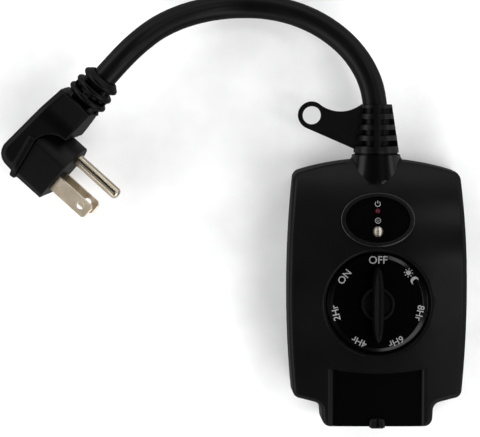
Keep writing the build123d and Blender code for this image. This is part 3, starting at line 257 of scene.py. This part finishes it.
lampGlassLook = {
    "width": 0.0022,
    "shades": {
        "rim": (0.05, 0.045, 0.035),
        "electrode": (0.22, 0.2, 0.16),
        "gap": (0.07, 0.06, 0.05),
        # one electrode lighter than the other: painted highlight
        "paintedHighlightElectrode": (0.4, 0.37, 0.31),
    },
    "bands": [
        # share of the width, shade
        (0.0, "rim"), (0.14, "rim"), (0.22, "electrode"), (0.4, "electrode"), (0.46, "gap"),
        (0.52, "gap"), (0.58, "paintedHighlightElectrode"), (0.74, "paintedHighlightElectrode"), (0.84, "rim"),
    ],
    "rough": (0.1, 0.12, 0.2),
    "coatWeight": 0.3,
    "coatRoughness": 0.05,
}


def lampGlass(name):
    # a clear bulb with two upright electrodes seen through it, drawn as bands of colour; one electrode's band
    # is lighter, a painted highlight
    smooth, even, rough = lampGlassLook["rough"]
    finish, shader = startFinish(name, lampGlassLook["shades"]["electrode"], even)
    tree = finish.node_tree
    coordinates = tree.nodes.new("ShaderNodeTexCoord")
    sides = tree.nodes.new("ShaderNodeSeparateXYZ")
    spread = tree.nodes.new("ShaderNodeMapRange")
    spread.inputs["From Min"].default_value = -lampGlassLook["width"]
    spread.inputs["From Max"].default_value = lampGlassLook["width"]
    ramp = tree.nodes.new("ShaderNodeValToRGB")
    while len(ramp.color_ramp.elements) < len(lampGlassLook["bands"]):
        ramp.color_ramp.elements.new(0.5)
    for element, (place, shade) in zip(ramp.color_ramp.elements, lampGlassLook["bands"]):
        element.position = place
        element.color = (*lampGlassLook["shades"][shade], 1.0)
    tree.links.new(coordinates.outputs["Object"], sides.inputs["Vector"])
    tree.links.new(sides.outputs["X"], spread.inputs["Value"])
    tree.links.new(spread.outputs["Result"], ramp.inputs["Fac"])
    tree.links.new(ramp.outputs["Color"], shader.inputs["Base Color"])
    shader.inputs["Coat Weight"].default_value = lampGlassLook["coatWeight"]
    shader.inputs["Coat Roughness"].default_value = lampGlassLook["coatRoughness"]
    roughByNoise(tree, shader, objectNoise(tree, noiseLook["resinPolish"]), smooth, rough)
    return finish


def grey(level):
    return (level, level, level)


print("finishes")
blackCase = blackFinish("blackCase", grey(0.0026), (0.004, 0.004, 0.0039), 0.24, 0.32, skin=0.11)
# the window's bezel: the stronger skin is its gloss, the darker tone is painted shade
bezelGlossAndPaintedShade = blackFinish("bezelGlossAndPaintedShade", grey(0.0014), (0.0022, 0.0022, 0.0021), 0.2, 0.28, skin=0.45)
# a darker copy of the case's black for the cord's neck: painted shade
neckPaintedShade = blackFinish("neckPaintedShade", grey(0.0006), grey(0.001), 0.2, 0.26, skin=0.3)
# a darker copy of the black plastic: painted shade on the outlet pocket's floor, in the relief's grooves and
# in the groove at its joint
paintedShadeBlack = blackFinish("paintedShadeBlack", grey(0.0003), grey(0.0006), 0.26, 0.34, skin=0.08)
# the dial's sloping rim: a stronger skin for gloss, and a lighter tone that paints its crescent highlight
dialRimGlossAndPaintedHighlight = blackFinish("dialRimGlossAndPaintedHighlight", grey(0.0004), grey(0.0008), 0.16, 0.22, 0.3, 3000.0, 0.05)
blackDial = blackFinish("blackDial", grey(0.0002), grey(0.0004), 0.22, 0.28, 0.08, 3000.0, 0.05)
blackKnob = blackFinish("blackKnob", grey(0.0014), grey(0.0022), 0.32, 0.4, 0.09, 3000.0, 0.06)
blackCover = blackFinish("blackCover", (0.0022, 0.0022, 0.0023), (0.0034, 0.0034, 0.0035), 0.3, 0.38, 0.2)
smokedWindow = blackFinish("smokedWindow", grey(0.0004), grey(0.0008), 0.08, 0.13, 0.3, 4000.0, 0.02)
blackCordRubber = rubberFinish("blackCordRubber", grey(0.0009), grey(0.0016), 0.38, 0.0, 0.0, 0.17)
blackReliefRubber = rubberFinish("blackReliefRubber", grey(0.0009), grey(0.0016), 0.34, 0.0, 0.0, 0.24)
blackPlugRubber = rubberFinish("blackPlugRubber", grey(0.0006), grey(0.0012), 0.36, 0.0, 0.0, 0.15)
blackPlugCore = blackFinish(
    "blackPlugCore", (0.0016, 0.0016, 0.0017), (0.0026, 0.0026, 0.0027), 0.34, 0.44, 0.2,
)
gasketRubber = rubberFinish("gasketRubber", grey(0.02), grey(0.035), 0.7)
nickelProng = metalFinish("nickelProng", (0.42, 0.35, 0.25), (0.62, 0.54, 0.42), 0.2, 0.32, 120.0)
# a darker copy of the prongs' nickel for the round ground pin: painted shade
nickelPinPaintedShade = metalFinish("nickelPinPaintedShade", (0.22, 0.19, 0.14), (0.32, 0.28, 0.22), 0.2, 0.28, 120.0)
zincScrew = metalFinish("zincScrew", (0.42, 0.43, 0.45), grey(0.62), 0.28, 0.42)
springBrass = metalFinish("springBrass", (0.62, 0.45, 0.2), (0.82, 0.62, 0.32), 0.22, 0.36)
canAluminium = metalFinish("canAluminium", (0.2, 0.2, 0.25), (0.34, 0.34, 0.4), 0.3, 0.4)
redResin = mouldedFinish("redResin", (0.03, 0.001, 0.005), (0.06, 0.002, 0.01), 0.2, 0.3, 3000.0, 0.02, 0.15)
clearResin = lampGlass("clearResin")
sensorResin = resinFinish("sensorResin", (0.4, 0.16, 0.08), 0.15, 0.2)
whiteInk = mouldedFinish("whiteInk", grey(0.2), grey(0.27), 0.5, 0.6, 2600.0, 0.1, 0.2)
whiteNylon = mouldedFinish("whiteNylon", (0.72, 0.71, 0.66), (0.82, 0.81, 0.77), 0.35, 0.45)
switchPlastic = mouldedFinish("switchPlastic", (0.6, 0.56, 0.46), (0.7, 0.67, 0.57), 0.4, 0.5)
boardGreen = mouldedFinish("boardGreen", (0.015, 0.1, 0.035), (0.03, 0.17, 0.06), 0.3, 0.5, 900.0, 0.2)
relayBlue = mouldedFinish("relayBlue", (0.02, 0.07, 0.25), (0.04, 0.11, 0.34), 0.35, 0.45)
filmYellow = mouldedFinish("filmYellow", (0.5, 0.3, 0.03), (0.62, 0.4, 0.06), 0.35, 0.5)
varistorBlue = mouldedFinish("varistorBlue", (0.03, 0.08, 0.3), (0.06, 0.13, 0.4), 0.2, 0.35)
fuseBrown = mouldedFinish("fuseBrown", (0.16, 0.11, 0.07), (0.24, 0.18, 0.12), 0.2, 0.35)
chipBlack = mouldedFinish("chipBlack", grey(0.01), grey(0.02), 0.5, 0.65)
clampGrey = mouldedFinish("clampGrey", (0.32, 0.32, 0.3), (0.42, 0.42, 0.4), 0.4, 0.55)
blackWire = rubberFinish("blackWire", grey(0.008), grey(0.016), 0.4)
whiteWire = rubberFinish("whiteWire", (0.6, 0.6, 0.57), (0.72, 0.72, 0.69), 0.4)
greenWire = rubberFinish("greenWire", (0.01, 0.14, 0.04), (0.02, 0.22, 0.07), 0.4)
paleFloor = mouldedFinish("paleFloor", grey(0.87), studio["floorColour"], 0.75, 0.85, 300.0, 0.02, 0.2)

finishOfSlot = {
    "housing": blackCase, "gasket": gasketRubber, "screw": zincScrew, "window": smokedWindow,
    "red_lens": redResin, "clear_lens": clearResin, "sensor": sensorResin, "dial": blackDial,
    "spindle": whiteNylon, "seal": gasketRubber, "clip": zincScrew, "switch": switchPlastic,
    "contact": springBrass, "board": boardGreen, "relay": relayBlue, "film_capacitor": filmYellow,
    "can": canAluminium, "varistor": varistorBlue, "fuse": fuseBrown, "chip": chipBlack,
    "relief": blackReliefRubber, "cord": blackCordRubber, "clamp": clampGrey,
    "black_wire": blackWire, "white_wire": whiteWire, "green_wire": greenWire,
    "outlet": blackCover, "cover": blackCover, "pin": zincScrew,
    "plug_rubber": blackPlugRubber, "plug_core": blackPlugCore, "prong": nickelProng,
}


def paint(piece, finish):
    piece.data.materials.clear()
    piece.data.materials.append(finish)


for nodeName, node in nodes.items():
    paint(node, finishOfSlot[slotOf[nodeName]])

floorMesh = bmesh.new()
bmesh.ops.create_grid(floorMesh, x_segments=1, y_segments=1, size=studio["floorSize"] / 2)
bmesh.ops.translate(floorMesh, verts=floorMesh.verts, vec=(0.0, 0.0, -studio["floorDrop"]))
floorData = bpy.data.meshes.new("floor")
floorMesh.to_mesh(floorData)
floorMesh.free()
floor = bpy.data.objects.new("floor", floorData)
bpy.context.scene.collection.objects.link(floor)
paint(floor, paleFloor)


# helpers for pieces
def addPiece(name, mesh, finish, body, replaced=()):
    # a smooth piece that moves with a body, and stands for the solids that it replaces
    data = bpy.data.meshes.new(name)
    mesh.to_mesh(data)
    mesh.free()
    piece = bpy.data.objects.new(name, data)
    bpy.context.scene.collection.objects.link(piece)
    paint(piece, finish)
    for face in data.polygons:
        face.use_smooth = True
    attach(piece, body)
    if replaced:
        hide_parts(*replaced)
    return piece


def mergedCopy(nodeName, flatten=0.6):
    # a welded copy of a solid, with the triangles of each flat face joined up again
    mesh = bmesh.new()
    mesh.from_mesh(nodes[nodeName].data)
    bmesh.ops.remove_doubles(mesh, verts=mesh.verts, dist=2 * weldDistance)
    bmesh.ops.dissolve_limit(mesh, angle_limit=math.radians(flatten), verts=mesh.verts, edges=mesh.edges)
    return mesh


def facet(piece):
    # flat faces with crisp edges
    for face in piece.data.polygons:
        face.use_smooth = False


def softenEdges(piece, width, sharpAngle=30.0, segments=2, evenness=80):
    bevel = piece.modifiers.new("softEdges", "BEVEL")
    bevel.width = width
    bevel.segments = segments
    bevel.limit_method = "ANGLE"
    bevel.angle_limit = math.radians(sharpAngle)
    bevel.harden_normals = False
    normals = piece.modifiers.new("evenNormals", "WEIGHTED_NORMAL")
    normals.keep_sharp = True
    normals.weight = evenness


def dress(nodeName, width, sharpAngle=32.0):
    # a solid's own shape with softened edges
    piece = addPiece(
        nodeName + "Skin", mergedCopy(nodeName), finishOfSlot[slotOf[nodeName]],
        bodyOf[nodeName], [nodeName],
    )
    softenEdges(piece, width, sharpAngle)
    return piece


def softMoulding(nodeName, voxel, rounds):
    # rubber pieces: every edge melts a little
    piece = addPiece(
        nodeName + "Skin", mergedCopy(nodeName, 0.1), finishOfSlot[slotOf[nodeName]],
        bodyOf[nodeName], [nodeName],
    )
    remesh = piece.modifiers.new("evenSkin", "REMESH")
    remesh.mode = "VOXEL"
    remesh.voxel_size = voxel
    remesh.use_smooth_shade = True
    smooth = piece.modifiers.new("melt", "SMOOTH")
    smooth.iterations = rounds
    return piece


# cord
print("cord")

cordLook = {
    "diameter": 0.0097,
    "order": 3,
    "stepsAlong": 16,
    "stepsRound": 12,
    "exit": (0.0, 0.078, cordHeight),
    "length": 0.16,
    "route": [
        (0.0, 66.0, 18.5), (0.0, 80.0, 18.5), (-4.6, 93.1, 16.9), (-13.3, 103.9, 13.4),
        (-26.2, 112.4, 9.1), (-41.2, 116.9, 5.7), (-57.2, 117.5, 5.1), (-72.7, 115.1, 9.2),
        (-86.0, 109.8, 15.7), (-96.3, 102.0, 20.8), (-105.7, 92.2, 22.7), (-114.8, 81.7, 20.7),
    ],
}

cordCurve = bpy.data.curves.new("cord", "CURVE")
cordCurve.dimensions = "3D"
cordLine = cordCurve.splines.new("NURBS")
cordLine.points.add(len(cordLook["route"]) - 1)
for point, place in zip(cordLine.points, cordLook["route"]):
    point.co = (place[0] * mm, place[1] * mm, place[2] * mm, 1.0)
cordLine.order_u = cordLook["order"]
cordLine.use_endpoint_u = True
cordLine.resolution_u = cordLook["stepsAlong"]
cordCurve.bevel_depth = cordLook["diameter"] / 2
cordCurve.bevel_resolution = cordLook["stepsRound"]
cordCurve.use_fill_caps = True
cord = bpy.data.objects.new("cord", cordCurve)
bpy.context.scene.collection.objects.link(cord)
cord.data.materials.append(blackCordRubber)
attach(cord, "case")
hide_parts("power_cord")

# case
print("case")

# the width of each piece's softened edges
caseEdges = {
    "front_housing": 0.00012,
    "rear_housing": 0.00012,
    "outlet_cover": 0.00015,
    "outlet_face": 0.0002,
    "housing_screws": 0.0001,
}
pocketLook = {
    "top": -0.026,
    "floor": (0.0344, 0.0348),
    "flat": 0.99,
}
bezelLook = {
    "middle": 0.0332,
    "halfWidth": 0.0153,
    "halfHeight": 0.0112,
    "height": 0.03590,
    "slope": 0.309,
    "least": -0.00033,
}
neckLook = {
    "rootY": 0.042,
    "rootRadius": 0.012,
    "endY": 0.058,
    "endRadius": 0.0097,
    "reach": 0.0005,
    "facing": 0.9,
}


def onPocketFloor(face):
    low, high = pocketLook["floor"]
    inside = face.center.y < pocketLook["top"] and low < face.center.z < high
    return inside and face.normal.z > pocketLook["flat"]


def onBezel(face):
    # inside the oval outline, and over the window's tilted plane
    across, along = face.center.x, face.center.y - bezelLook["middle"]
    rise = face.center.z - bezelLook["height"] + along * bezelLook["slope"]
    reach = math.hypot(across / bezelLook["halfWidth"], along / bezelLook["halfHeight"])
    return reach < 1.0 and rise > bezelLook["least"]


def fromAxis(place):
    # the way out from the axis of the cord to a place
    return Vector((place.x, 0.0, place.z - cordHeight))


def onNeck(face):
    share = (face.center.y - neckLook["rootY"]) / (neckLook["endY"] - neckLook["rootY"])
    surface = neckLook["rootRadius"] + (neckLook["endRadius"] - neckLook["rootRadius"]) * share
    out = fromAxis(face.center)
    near = face.center.y > neckLook["rootY"] and abs(out.length - surface) < neckLook["reach"]
    return near and face.normal.dot(out.normalized()) > neckLook["facing"]


casePieces = {nodeName: dress(nodeName, width) for nodeName, width in caseEdges.items()}
caseFront = casePieces["front_housing"]
# the pocket floor, the bezel and the neck take darker copies of the case's black: painted shade
caseSlots = ((onPocketFloor, paintedShadeBlack), (onBezel, bezelGlossAndPaintedShade), (onNeck, neckPaintedShade))
for index, (chosen, finish) in enumerate(caseSlots, 1):
    caseFront.data.materials.append(finish)
    for face in caseFront.data.polygons:
        if chosen(face):
            face.material_index = index

# strain relief and plug
print("strain relief and plug")

reliefLook = {
    "edge": 0.0002,
    "sharpAngle": 40.0,
    "grooves": (0.0595, 0.0771),
    "wideRadius": 0.00905,
    "narrowRadius": 0.0063,
    "sunk": 0.00035,
    "joint": (0.05805, 0.0582, 0.0587, 0.05885),
    "jointShare": 0.95,
    "jointRadius": 0.007,
}


def inJoint(place, margin=0.0):
    return reliefLook["joint"][0] + margin < place.y < reliefLook["joint"][-1] - margin


def inGroove(face):
    start, end = reliefLook["grooves"]
    share = (face.center.y - start) / (end - start)
    surface = reliefLook["wideRadius"] + (reliefLook["narrowRadius"] - reliefLook["wideRadius"]) * share
    return 0.0 < share < 1.0 and fromAxis(face.center).length < surface - reliefLook["sunk"]


relief = dress("strain_relief", reliefLook["edge"], reliefLook["sharpAngle"])
# a second, darker finish for painted shade in the relief's grooves
relief.data.materials.append(paintedShadeBlack)

# a narrow groove where the relief leaves the neck, painted darker below with the grooves as painted shade
jointed = bmesh.new()
jointed.from_mesh(relief.data)
for y in reliefLook["joint"]:
    everything = jointed.verts[:] + jointed.edges[:] + jointed.faces[:]
    bmesh.ops.bisect_plane(jointed, geom=everything, plane_co=(0.0, y, 0.0), plane_no=(0.0, 1.0, 0.0))
for vert in jointed.verts:
    out = fromAxis(vert.co)
    if inJoint(vert.co, 0.00001) and out.length > reliefLook["jointRadius"]:
        vert.co -= out * (1.0 - reliefLook["jointShare"])
jointed.to_mesh(relief.data)
jointed.free()
# the joint groove and the relief's grooves are painted darker: painted shade
for face in relief.data.polygons:
    if inJoint(face.center) or inGroove(face):
        face.material_index = 1

plugLook = {
    "voxel": 0.0004,
    "meltRounds": 4,
    "coreEdge": 0.001,
    "bladeEdge": 0.00012,
    "pinEdge": 0.0001,
}
plugBody = softMoulding("plug_body", plugLook["voxel"], plugLook["meltRounds"])
plugCore = dress("plug_core", plugLook["coreEdge"])
lineBlade = dress("line_blade", plugLook["bladeEdge"])
neutralBlade = dress("neutral_blade", plugLook["bladeEdge"])
groundPin = dress("ground_pin", plugLook["pinEdge"])
# the ground pin takes the darker nickel: painted shade
paint(groundPin, nickelPinPaintedShade)

# window and lamps
print("window and lamps")

windowEdges = {
    "sensor_window": 0.0002,
    "power_lamp": 0.00005,
    "outlet_lamp": 0.00005,
}
for nodeName, width in windowEdges.items():
    dress(nodeName, width)

# dial
print("dial")

dialLook = {
    "steps": 144,
    "discRadius": 20.1,
    "discLow": 34.3,
    "discTop": 36.4,
    "discEdge": 0.0001,
    "rimRadius": 17.9,
    "rimDrop": 0.8,
    "rimRound": 0.25,
    "rimLoops": (0.92, 0.08),
    "rimBand": 0.15,
    "rimFacing": 0.3,
    "bossRadius": 5.5,
    "bossLow": 31.5,
    "hubRadius": 6.5,
    "hubTop": 40.8,
    "hubRim": 1.5,
    "hubRound": 0.55,
    "hubSink": 0.1,
    "hubFoot": 0.5,
    "hubFlare": (0.12, 0.4),
    "dishDepth": 0.4,
    "dishRound": 0.35,
    "dishSlope": 0.3,
    "bladeSteps": 20,
    "bladeLength": 14.8,
    "bladeSink": 0.2,
    "bladeTop": 46.6,
    "footWidth": 2.25,
    "shoulderWidth": 1.95,
    "shoulderFlare": (0.12, 0.6),
    "crestWidth": 1.3,
    "crestSlope": 1.5,
    "crestRound": ((0.325, 0.42), (0.12, 0.08)),
    "crestDish": ((0.14, 0.0), (0.4, 0.14), (0.75, 0.3)),
    "crestMiddle": 0.34,
    "taper": (3.5, 0.6),
    "tipShare": 0.06,
    "tipDrop": 0.1,
    "tipSudden": 8,
}


def spinProfile(mesh, profile, steps):
    # turns (radius, height) points round the upright axis
    ring = [mesh.verts.new((radius * mm, 0.0, height * mm)) for radius, height in profile]
    edges = [mesh.edges.new(pair) for pair in zip(ring, ring[1:])]
    bmesh.ops.spin(
        mesh, geom=ring + edges, cent=(0.0, 0.0, 0.0), axis=(0.0, 0.0, 1.0),
        angle=math.tau, steps=steps, use_merge=True,
    )
    bmesh.ops.remove_doubles(mesh, verts=mesh.verts, dist=weldDistance)


def rounded(radius, height, size, outward, rising, steps=4):
    # quarter-round corner from (radius, height - size) towards the top, or back down
    points = []
    for index in range(steps + 1):
        angle = math.pi / 2 * index / steps
        if not rising:
            angle = math.pi / 2 - angle
        inward, down = size * (1 - math.cos(angle)), size * (1 - math.sin(angle))
        points.append((radius - outward * inward, height - down))
    return points


def discProfile(look):
    # from the boss under the disc, round its edge and up the sloping rim to the flat top
    low, top, outer, inner = look["discLow"], look["discTop"], look["discRadius"], look["rimRadius"]
    points = [(0.0, look["bossLow"]), (look["bossRadius"], look["bossLow"]), (look["bossRadius"], low)]
    points += [(outer, low)] + rounded(outer, top - look["rimDrop"], look["rimRound"], 1, True)
    for share in look["rimLoops"]:
        run = outer - look["rimRound"] - inner
        points.append((inner + run * share, top - look["rimDrop"] * share))
    return points + [(inner, top), (inner - look["rimBand"], top), (0.0, top)]


def hubProfile(look):
    # from the foot sunk in the disc, over the hub's round rim and down into its dish
    radius, top = look["hubRadius"], look["hubTop"]
    wall, foot = radius - look["hubRim"], look["discTop"] - look["hubSink"]
    flareOut, flareUp = look["hubFlare"]
    points = [(0.0, foot), (radius + look["hubFoot"], foot), (radius + flareOut, look["discTop"] + flareUp)]
    points += rounded(radius, top, look["hubRound"], 1, True)
    points += rounded(wall, top, look["dishRound"], -1, False)
    dish = top - look["dishDepth"]
    return points + [(wall - look["dishSlope"], dish), (0.0, dish)]


def bladeSection(look, low):
    # the grip's cross-section at its middle, from its left foot over the dished crest to its right foot
    top, shoulder, crest = look["bladeTop"], look["shoulderWidth"], look["crestWidth"]
    slope = (shoulder - crest) * look["crestSlope"]
    flareOut, flareDown = look["shoulderFlare"]
    half = [(look["footWidth"], low), (shoulder + flareOut, top - slope - flareDown), (shoulder, top - slope)]
    for outward, down in look["crestRound"]:
        half.append((crest + outward, top - down * slope))
    for inward, down in look["crestDish"]:
        half.append((crest - inward, top - down))
    half.append((0.0, top - look["crestMiddle"]))
    return [(-x, z) for x, z in half] + [(x, z) for x, z in reversed(half[:-1])]


def addBlade(mesh, look):
    # the middle section is drawn out to one tip, a step at a time, and mirrored
    low = look["discTop"] - look["bladeSink"]
    corners = [mesh.verts.new((x * mm, 0.0, z * mm)) for x, z in bladeSection(look, low)]
    tip = mesh.faces.new(corners)
    early, late = look["taper"]
    share, place, tall = 1.0, 0.0, 1.0
    for step in range(1, look["bladeSteps"] + 1):
        lean = math.sin(math.pi / 2 * step / look["bladeSteps"])
        newShare = max((1.0 - lean ** early) ** late, look["tipShare"])
        newPlace = look["bladeLength"] * lean * mm
        newTall = 1.0 - look["tipDrop"] * lean ** look["tipSudden"]
        lift = bmesh.ops.extrude_face_region(mesh, geom=[tip])["geom"]
        bmesh.ops.delete(mesh, geom=[tip], context="FACES_ONLY")
        verts = [item for item in lift if isinstance(item, bmesh.types.BMVert)]
        tip = [item for item in lift if isinstance(item, bmesh.types.BMFace)][0]
        bmesh.ops.translate(mesh, verts=verts, vec=(0.0, newPlace - place, 0.0))
        bmesh.ops.scale(
            mesh, verts=verts, vec=(newShare / share, 1.0, newTall / tall),
            space=Matrix.Translation((0.0, 0.0, -low * mm)),
        )
        share, place, tall = newShare, newPlace, newTall
    everything = mesh.verts[:] + mesh.edges[:] + mesh.faces[:]
    bmesh.ops.mirror(mesh, geom=everything, axis="Y", merge_dist=weldDistance)


disc = bmesh.new()
spinProfile(disc, discProfile(dialLook), dialLook["steps"])
bmesh.ops.recalc_face_normals(disc, faces=disc.faces)
dialDisc = addPiece("dialDisc", disc, blackDial, "dial", ["dial"])
# the rim's faces take the lighter finish: painted highlight
dialDisc.data.materials.append(dialRimGlossAndPaintedHighlight)
for face in dialDisc.data.polygons:
    if face.center.xy.length > dialLook["rimRadius"] * mm and face.normal.z > dialLook["rimFacing"]:
        face.material_index = 1
softenEdges(dialDisc, dialLook["discEdge"])

grip = bmesh.new()
addBlade(grip, dialLook)
blade = bpy.data.meshes.new("blade")
grip.to_mesh(blade)
grip.free()

knob = bmesh.new()
spinProfile(knob, hubProfile(dialLook), dialLook["steps"])
knob.from_mesh(blade)
bmesh.ops.recalc_face_normals(knob, faces=knob.faces)
dialKnob = addPiece("dialKnob", knob, blackKnob, "dial")
knobNormals = dialKnob.modifiers.new("evenNormals", "WEIGHTED_NORMAL")
knobNormals.keep_sharp = True

# dial marks: generic words and numbers round the dial, and a sun and moon
print("dial marks")

markLook = {
    "radius": 17.0,
    "height": 36.4,
    "thickness": 0.06,
    "weight": 0.008,
    "capitalShare": 0.7,
    "letterSteps": 4,
    "marks": [
        # words, angle, capital height, radius
        ("OFF", 90.0, 3.0, 17.3), ("ON", 141.4, 2.8, 17.0), ("2Hr", 192.9, 2.7, 17.1),
        ("4Hr", 244.3, 2.7, 17.0), ("6Hr", 295.7, 2.7, 17.0), ("8Hr", 347.1, 2.7, 17.1),
    ],
    "duskAngle": 38.6,
    "apart": 2.0,
    # arcs: start, end, steps
    "sunRadius": 0.95,
    "sunArc": (0, 345, 23),
    "rays": 8,
    "raySpan": (0.3, 0.85),
    "rayHalfWidth": 0.17,
    "moonRadius": 1.6,
    "moonArc": (58, 302, 24),
    "hollowShare": 0.85,
    "hollowShift": 0.55,
    "hollowArc": (268, 92, 18),
}


def wordMesh(words, capital):
    # letters as a flat solid, centred on the origin
    curve = bpy.data.curves.new("letters", "FONT")
    curve.body = words
    curve.size = capital * mm / markLook["capitalShare"]
    curve.offset = markLook["weight"] * curve.size
    curve.extrude = markLook["thickness"] * mm / 2
    curve.align_x = "CENTER"
    curve.resolution_u = markLook["letterSteps"]
    holder = bpy.data.objects.new("letters", curve)
    flat = bpy.data.meshes.new_from_object(holder)
    bpy.data.objects.remove(holder)
    flat.transform(Matrix.Translation((0.0, -capital * mm / 2, 0.0)))
    return flat


def addOutline(mesh, points, high):
    # a flat solid from an outline in millimetres
    face = mesh.faces.new([mesh.verts.new((x * mm, y * mm, 0.0)) for x, y in points])
    lift = bmesh.ops.extrude_face_region(mesh, geom=[face])
    top = [item for item in lift["geom"] if isinstance(item, bmesh.types.BMVert)]
    bmesh.ops.translate(mesh, verts=top, vec=(0.0, 0.0, high * mm))


def addBar(mesh, left, right, low, top, high):
    addOutline(mesh, [(left, low), (right, low), (right, top), (left, top)], high)


def arcPoints(radius, start, end, steps, centre=(0.0, 0.0)):
    points = []
    for index in range(steps + 1):
        angle = math.radians(start + (end - start) * index / steps)
        points.append((centre[0] + radius * math.cos(angle), centre[1] + radius * math.sin(angle)))
    return points


def ringPlace(angle, radius):
    # a place on the dial whose tops point outward
    turn = Matrix.Rotation(math.radians(angle - 90.0), 4, "Z")
    return turn @ Matrix.Translation((0.0, radius * mm, markLook["height"] * mm))


def sunAndMoon():
    mesh = bmesh.new()
    sun, moon, apart, high = (markLook[key] for key in ("sunRadius", "moonRadius", "apart", "thickness"))
    middle = Vector((-apart, 0.0))
    addOutline(mesh, arcPoints(sun, *markLook["sunArc"], middle), high)
    rayStart, rayEnd = markLook["raySpan"]
    for ray in range(markLook["rays"]):
        turn = math.tau * ray / markLook["rays"]
        out = Vector((math.cos(turn), math.sin(turn)))
        side = Vector((-out.y, out.x)) * markLook["rayHalfWidth"]
        near, far = middle + out * (sun + rayStart), middle + out * (sun + rayEnd)
        addOutline(mesh, [near - side, far - side, far + side, near + side], high)
    outer = arcPoints(moon, *markLook["moonArc"], (apart, 0.0))
    hollowMiddle = (apart + moon * markLook["hollowShift"], 0.0)
    inner = arcPoints(moon * markLook["hollowShare"], *markLook["hollowArc"], hollowMiddle)
    addOutline(mesh, outer + inner[1:-1], high)
    flat = bpy.data.meshes.new("sunAndMoon")
    mesh.to_mesh(flat)
    mesh.free()
    return flat


marks = bmesh.new()
placed = []
for words, angle, capital, radius in markLook["marks"]:
    placed.append((wordMesh(words, capital), ringPlace(angle, radius)))
placed.append((sunAndMoon(), ringPlace(markLook["duskAngle"], markLook["radius"])))
for flat, place in placed:
    flat.transform(place)
    marks.from_mesh(flat)
bmesh.ops.recalc_face_normals(marks, faces=marks.faces)
dialMarks = addPiece("dialMarks", marks, whiteInk, "dial")
facet(dialMarks)

# signs on the window: a power sign over the red lamp, an outlet sign over the clear one
print("window signs")

signLook = {
    "powerPlace": (0.0, 39.2),
    "outletPlace": (0.0, 32.7),
    "ringRadius": 1.15,
    "line": 0.27,
    "thickness": 0.05,
    "lift": 0.01,
    "ringArc": (128, 412),
    "ringSteps": 30,
    "spinSteps": 36,
    "barFoot": 0.15,
    "barProud": 0.15,
    "outletLineShare": 0.8,
    "slotAside": 0.4,
    "slotHalfWidth": 0.11,
    "slotSpan": (-0.1, 0.45),
    "groundRadius": 0.2,
    "groundMiddle": -0.5,
    "groundFoot": -0.65,
    "groundArc": (0, 180, 10),
    "startAbove": 100.0,
}


def powerSign(mesh, sign):
    outer, inner, high = sign["ringRadius"], sign["ringRadius"] - sign["line"], sign["thickness"]
    start, end = sign["ringArc"]
    steps = sign["ringSteps"]
    addOutline(mesh, arcPoints(outer, start, end, steps) + arcPoints(inner, end, start, steps), high)
    half = sign["line"] / 2
    addBar(mesh, -half, half, sign["barFoot"], outer + sign["barProud"], high)


def outletSign(mesh, sign):
    outer, high = sign["ringRadius"], sign["thickness"]
    inner = outer - sign["line"] * sign["outletLineShare"]
    section = [(inner, 0.0), (outer, 0.0), (outer, high), (inner, high), (inner, 0.0)]
    spinProfile(mesh, section, sign["spinSteps"])
    half, (low, top) = sign["slotHalfWidth"], sign["slotSpan"]
    for side in (-sign["slotAside"], sign["slotAside"]):
        addBar(mesh, side - half, side + half, low, top, high)
    radius, foot = sign["groundRadius"], sign["groundFoot"]
    ground = arcPoints(radius, *sign["groundArc"], (0.0, sign["groundMiddle"]))
    addOutline(mesh, ground + [(-radius, foot), (radius, foot)], high)


lensMesh = mergedCopy("sensor_window")
lens = BVHTree.FromBMesh(lensMesh)
lensMesh.free()
signs = bmesh.new()
for draw, place in ((powerSign, signLook["powerPlace"]), (outletSign, signLook["outletPlace"])):
    already = set(signs.verts)
    draw(signs, signLook)
    fresh = [vert for vert in signs.verts if vert not in already]
    bmesh.ops.translate(signs, verts=fresh, vec=(place[0] * mm, place[1] * mm, 0.0))
for vert in signs.verts:
    above = Vector((vert.co.x, vert.co.y, signLook["startAbove"] * mm))
    vert.co.z += lens.ray_cast(above, Vector((0.0, 0.0, -1.0)))[0].z + signLook["lift"] * mm
bmesh.ops.recalc_face_normals(signs, faces=signs.faces)
windowSigns = addPiece("windowSigns", signs, whiteInk, "case")
facet(windowSigns)

print("done")
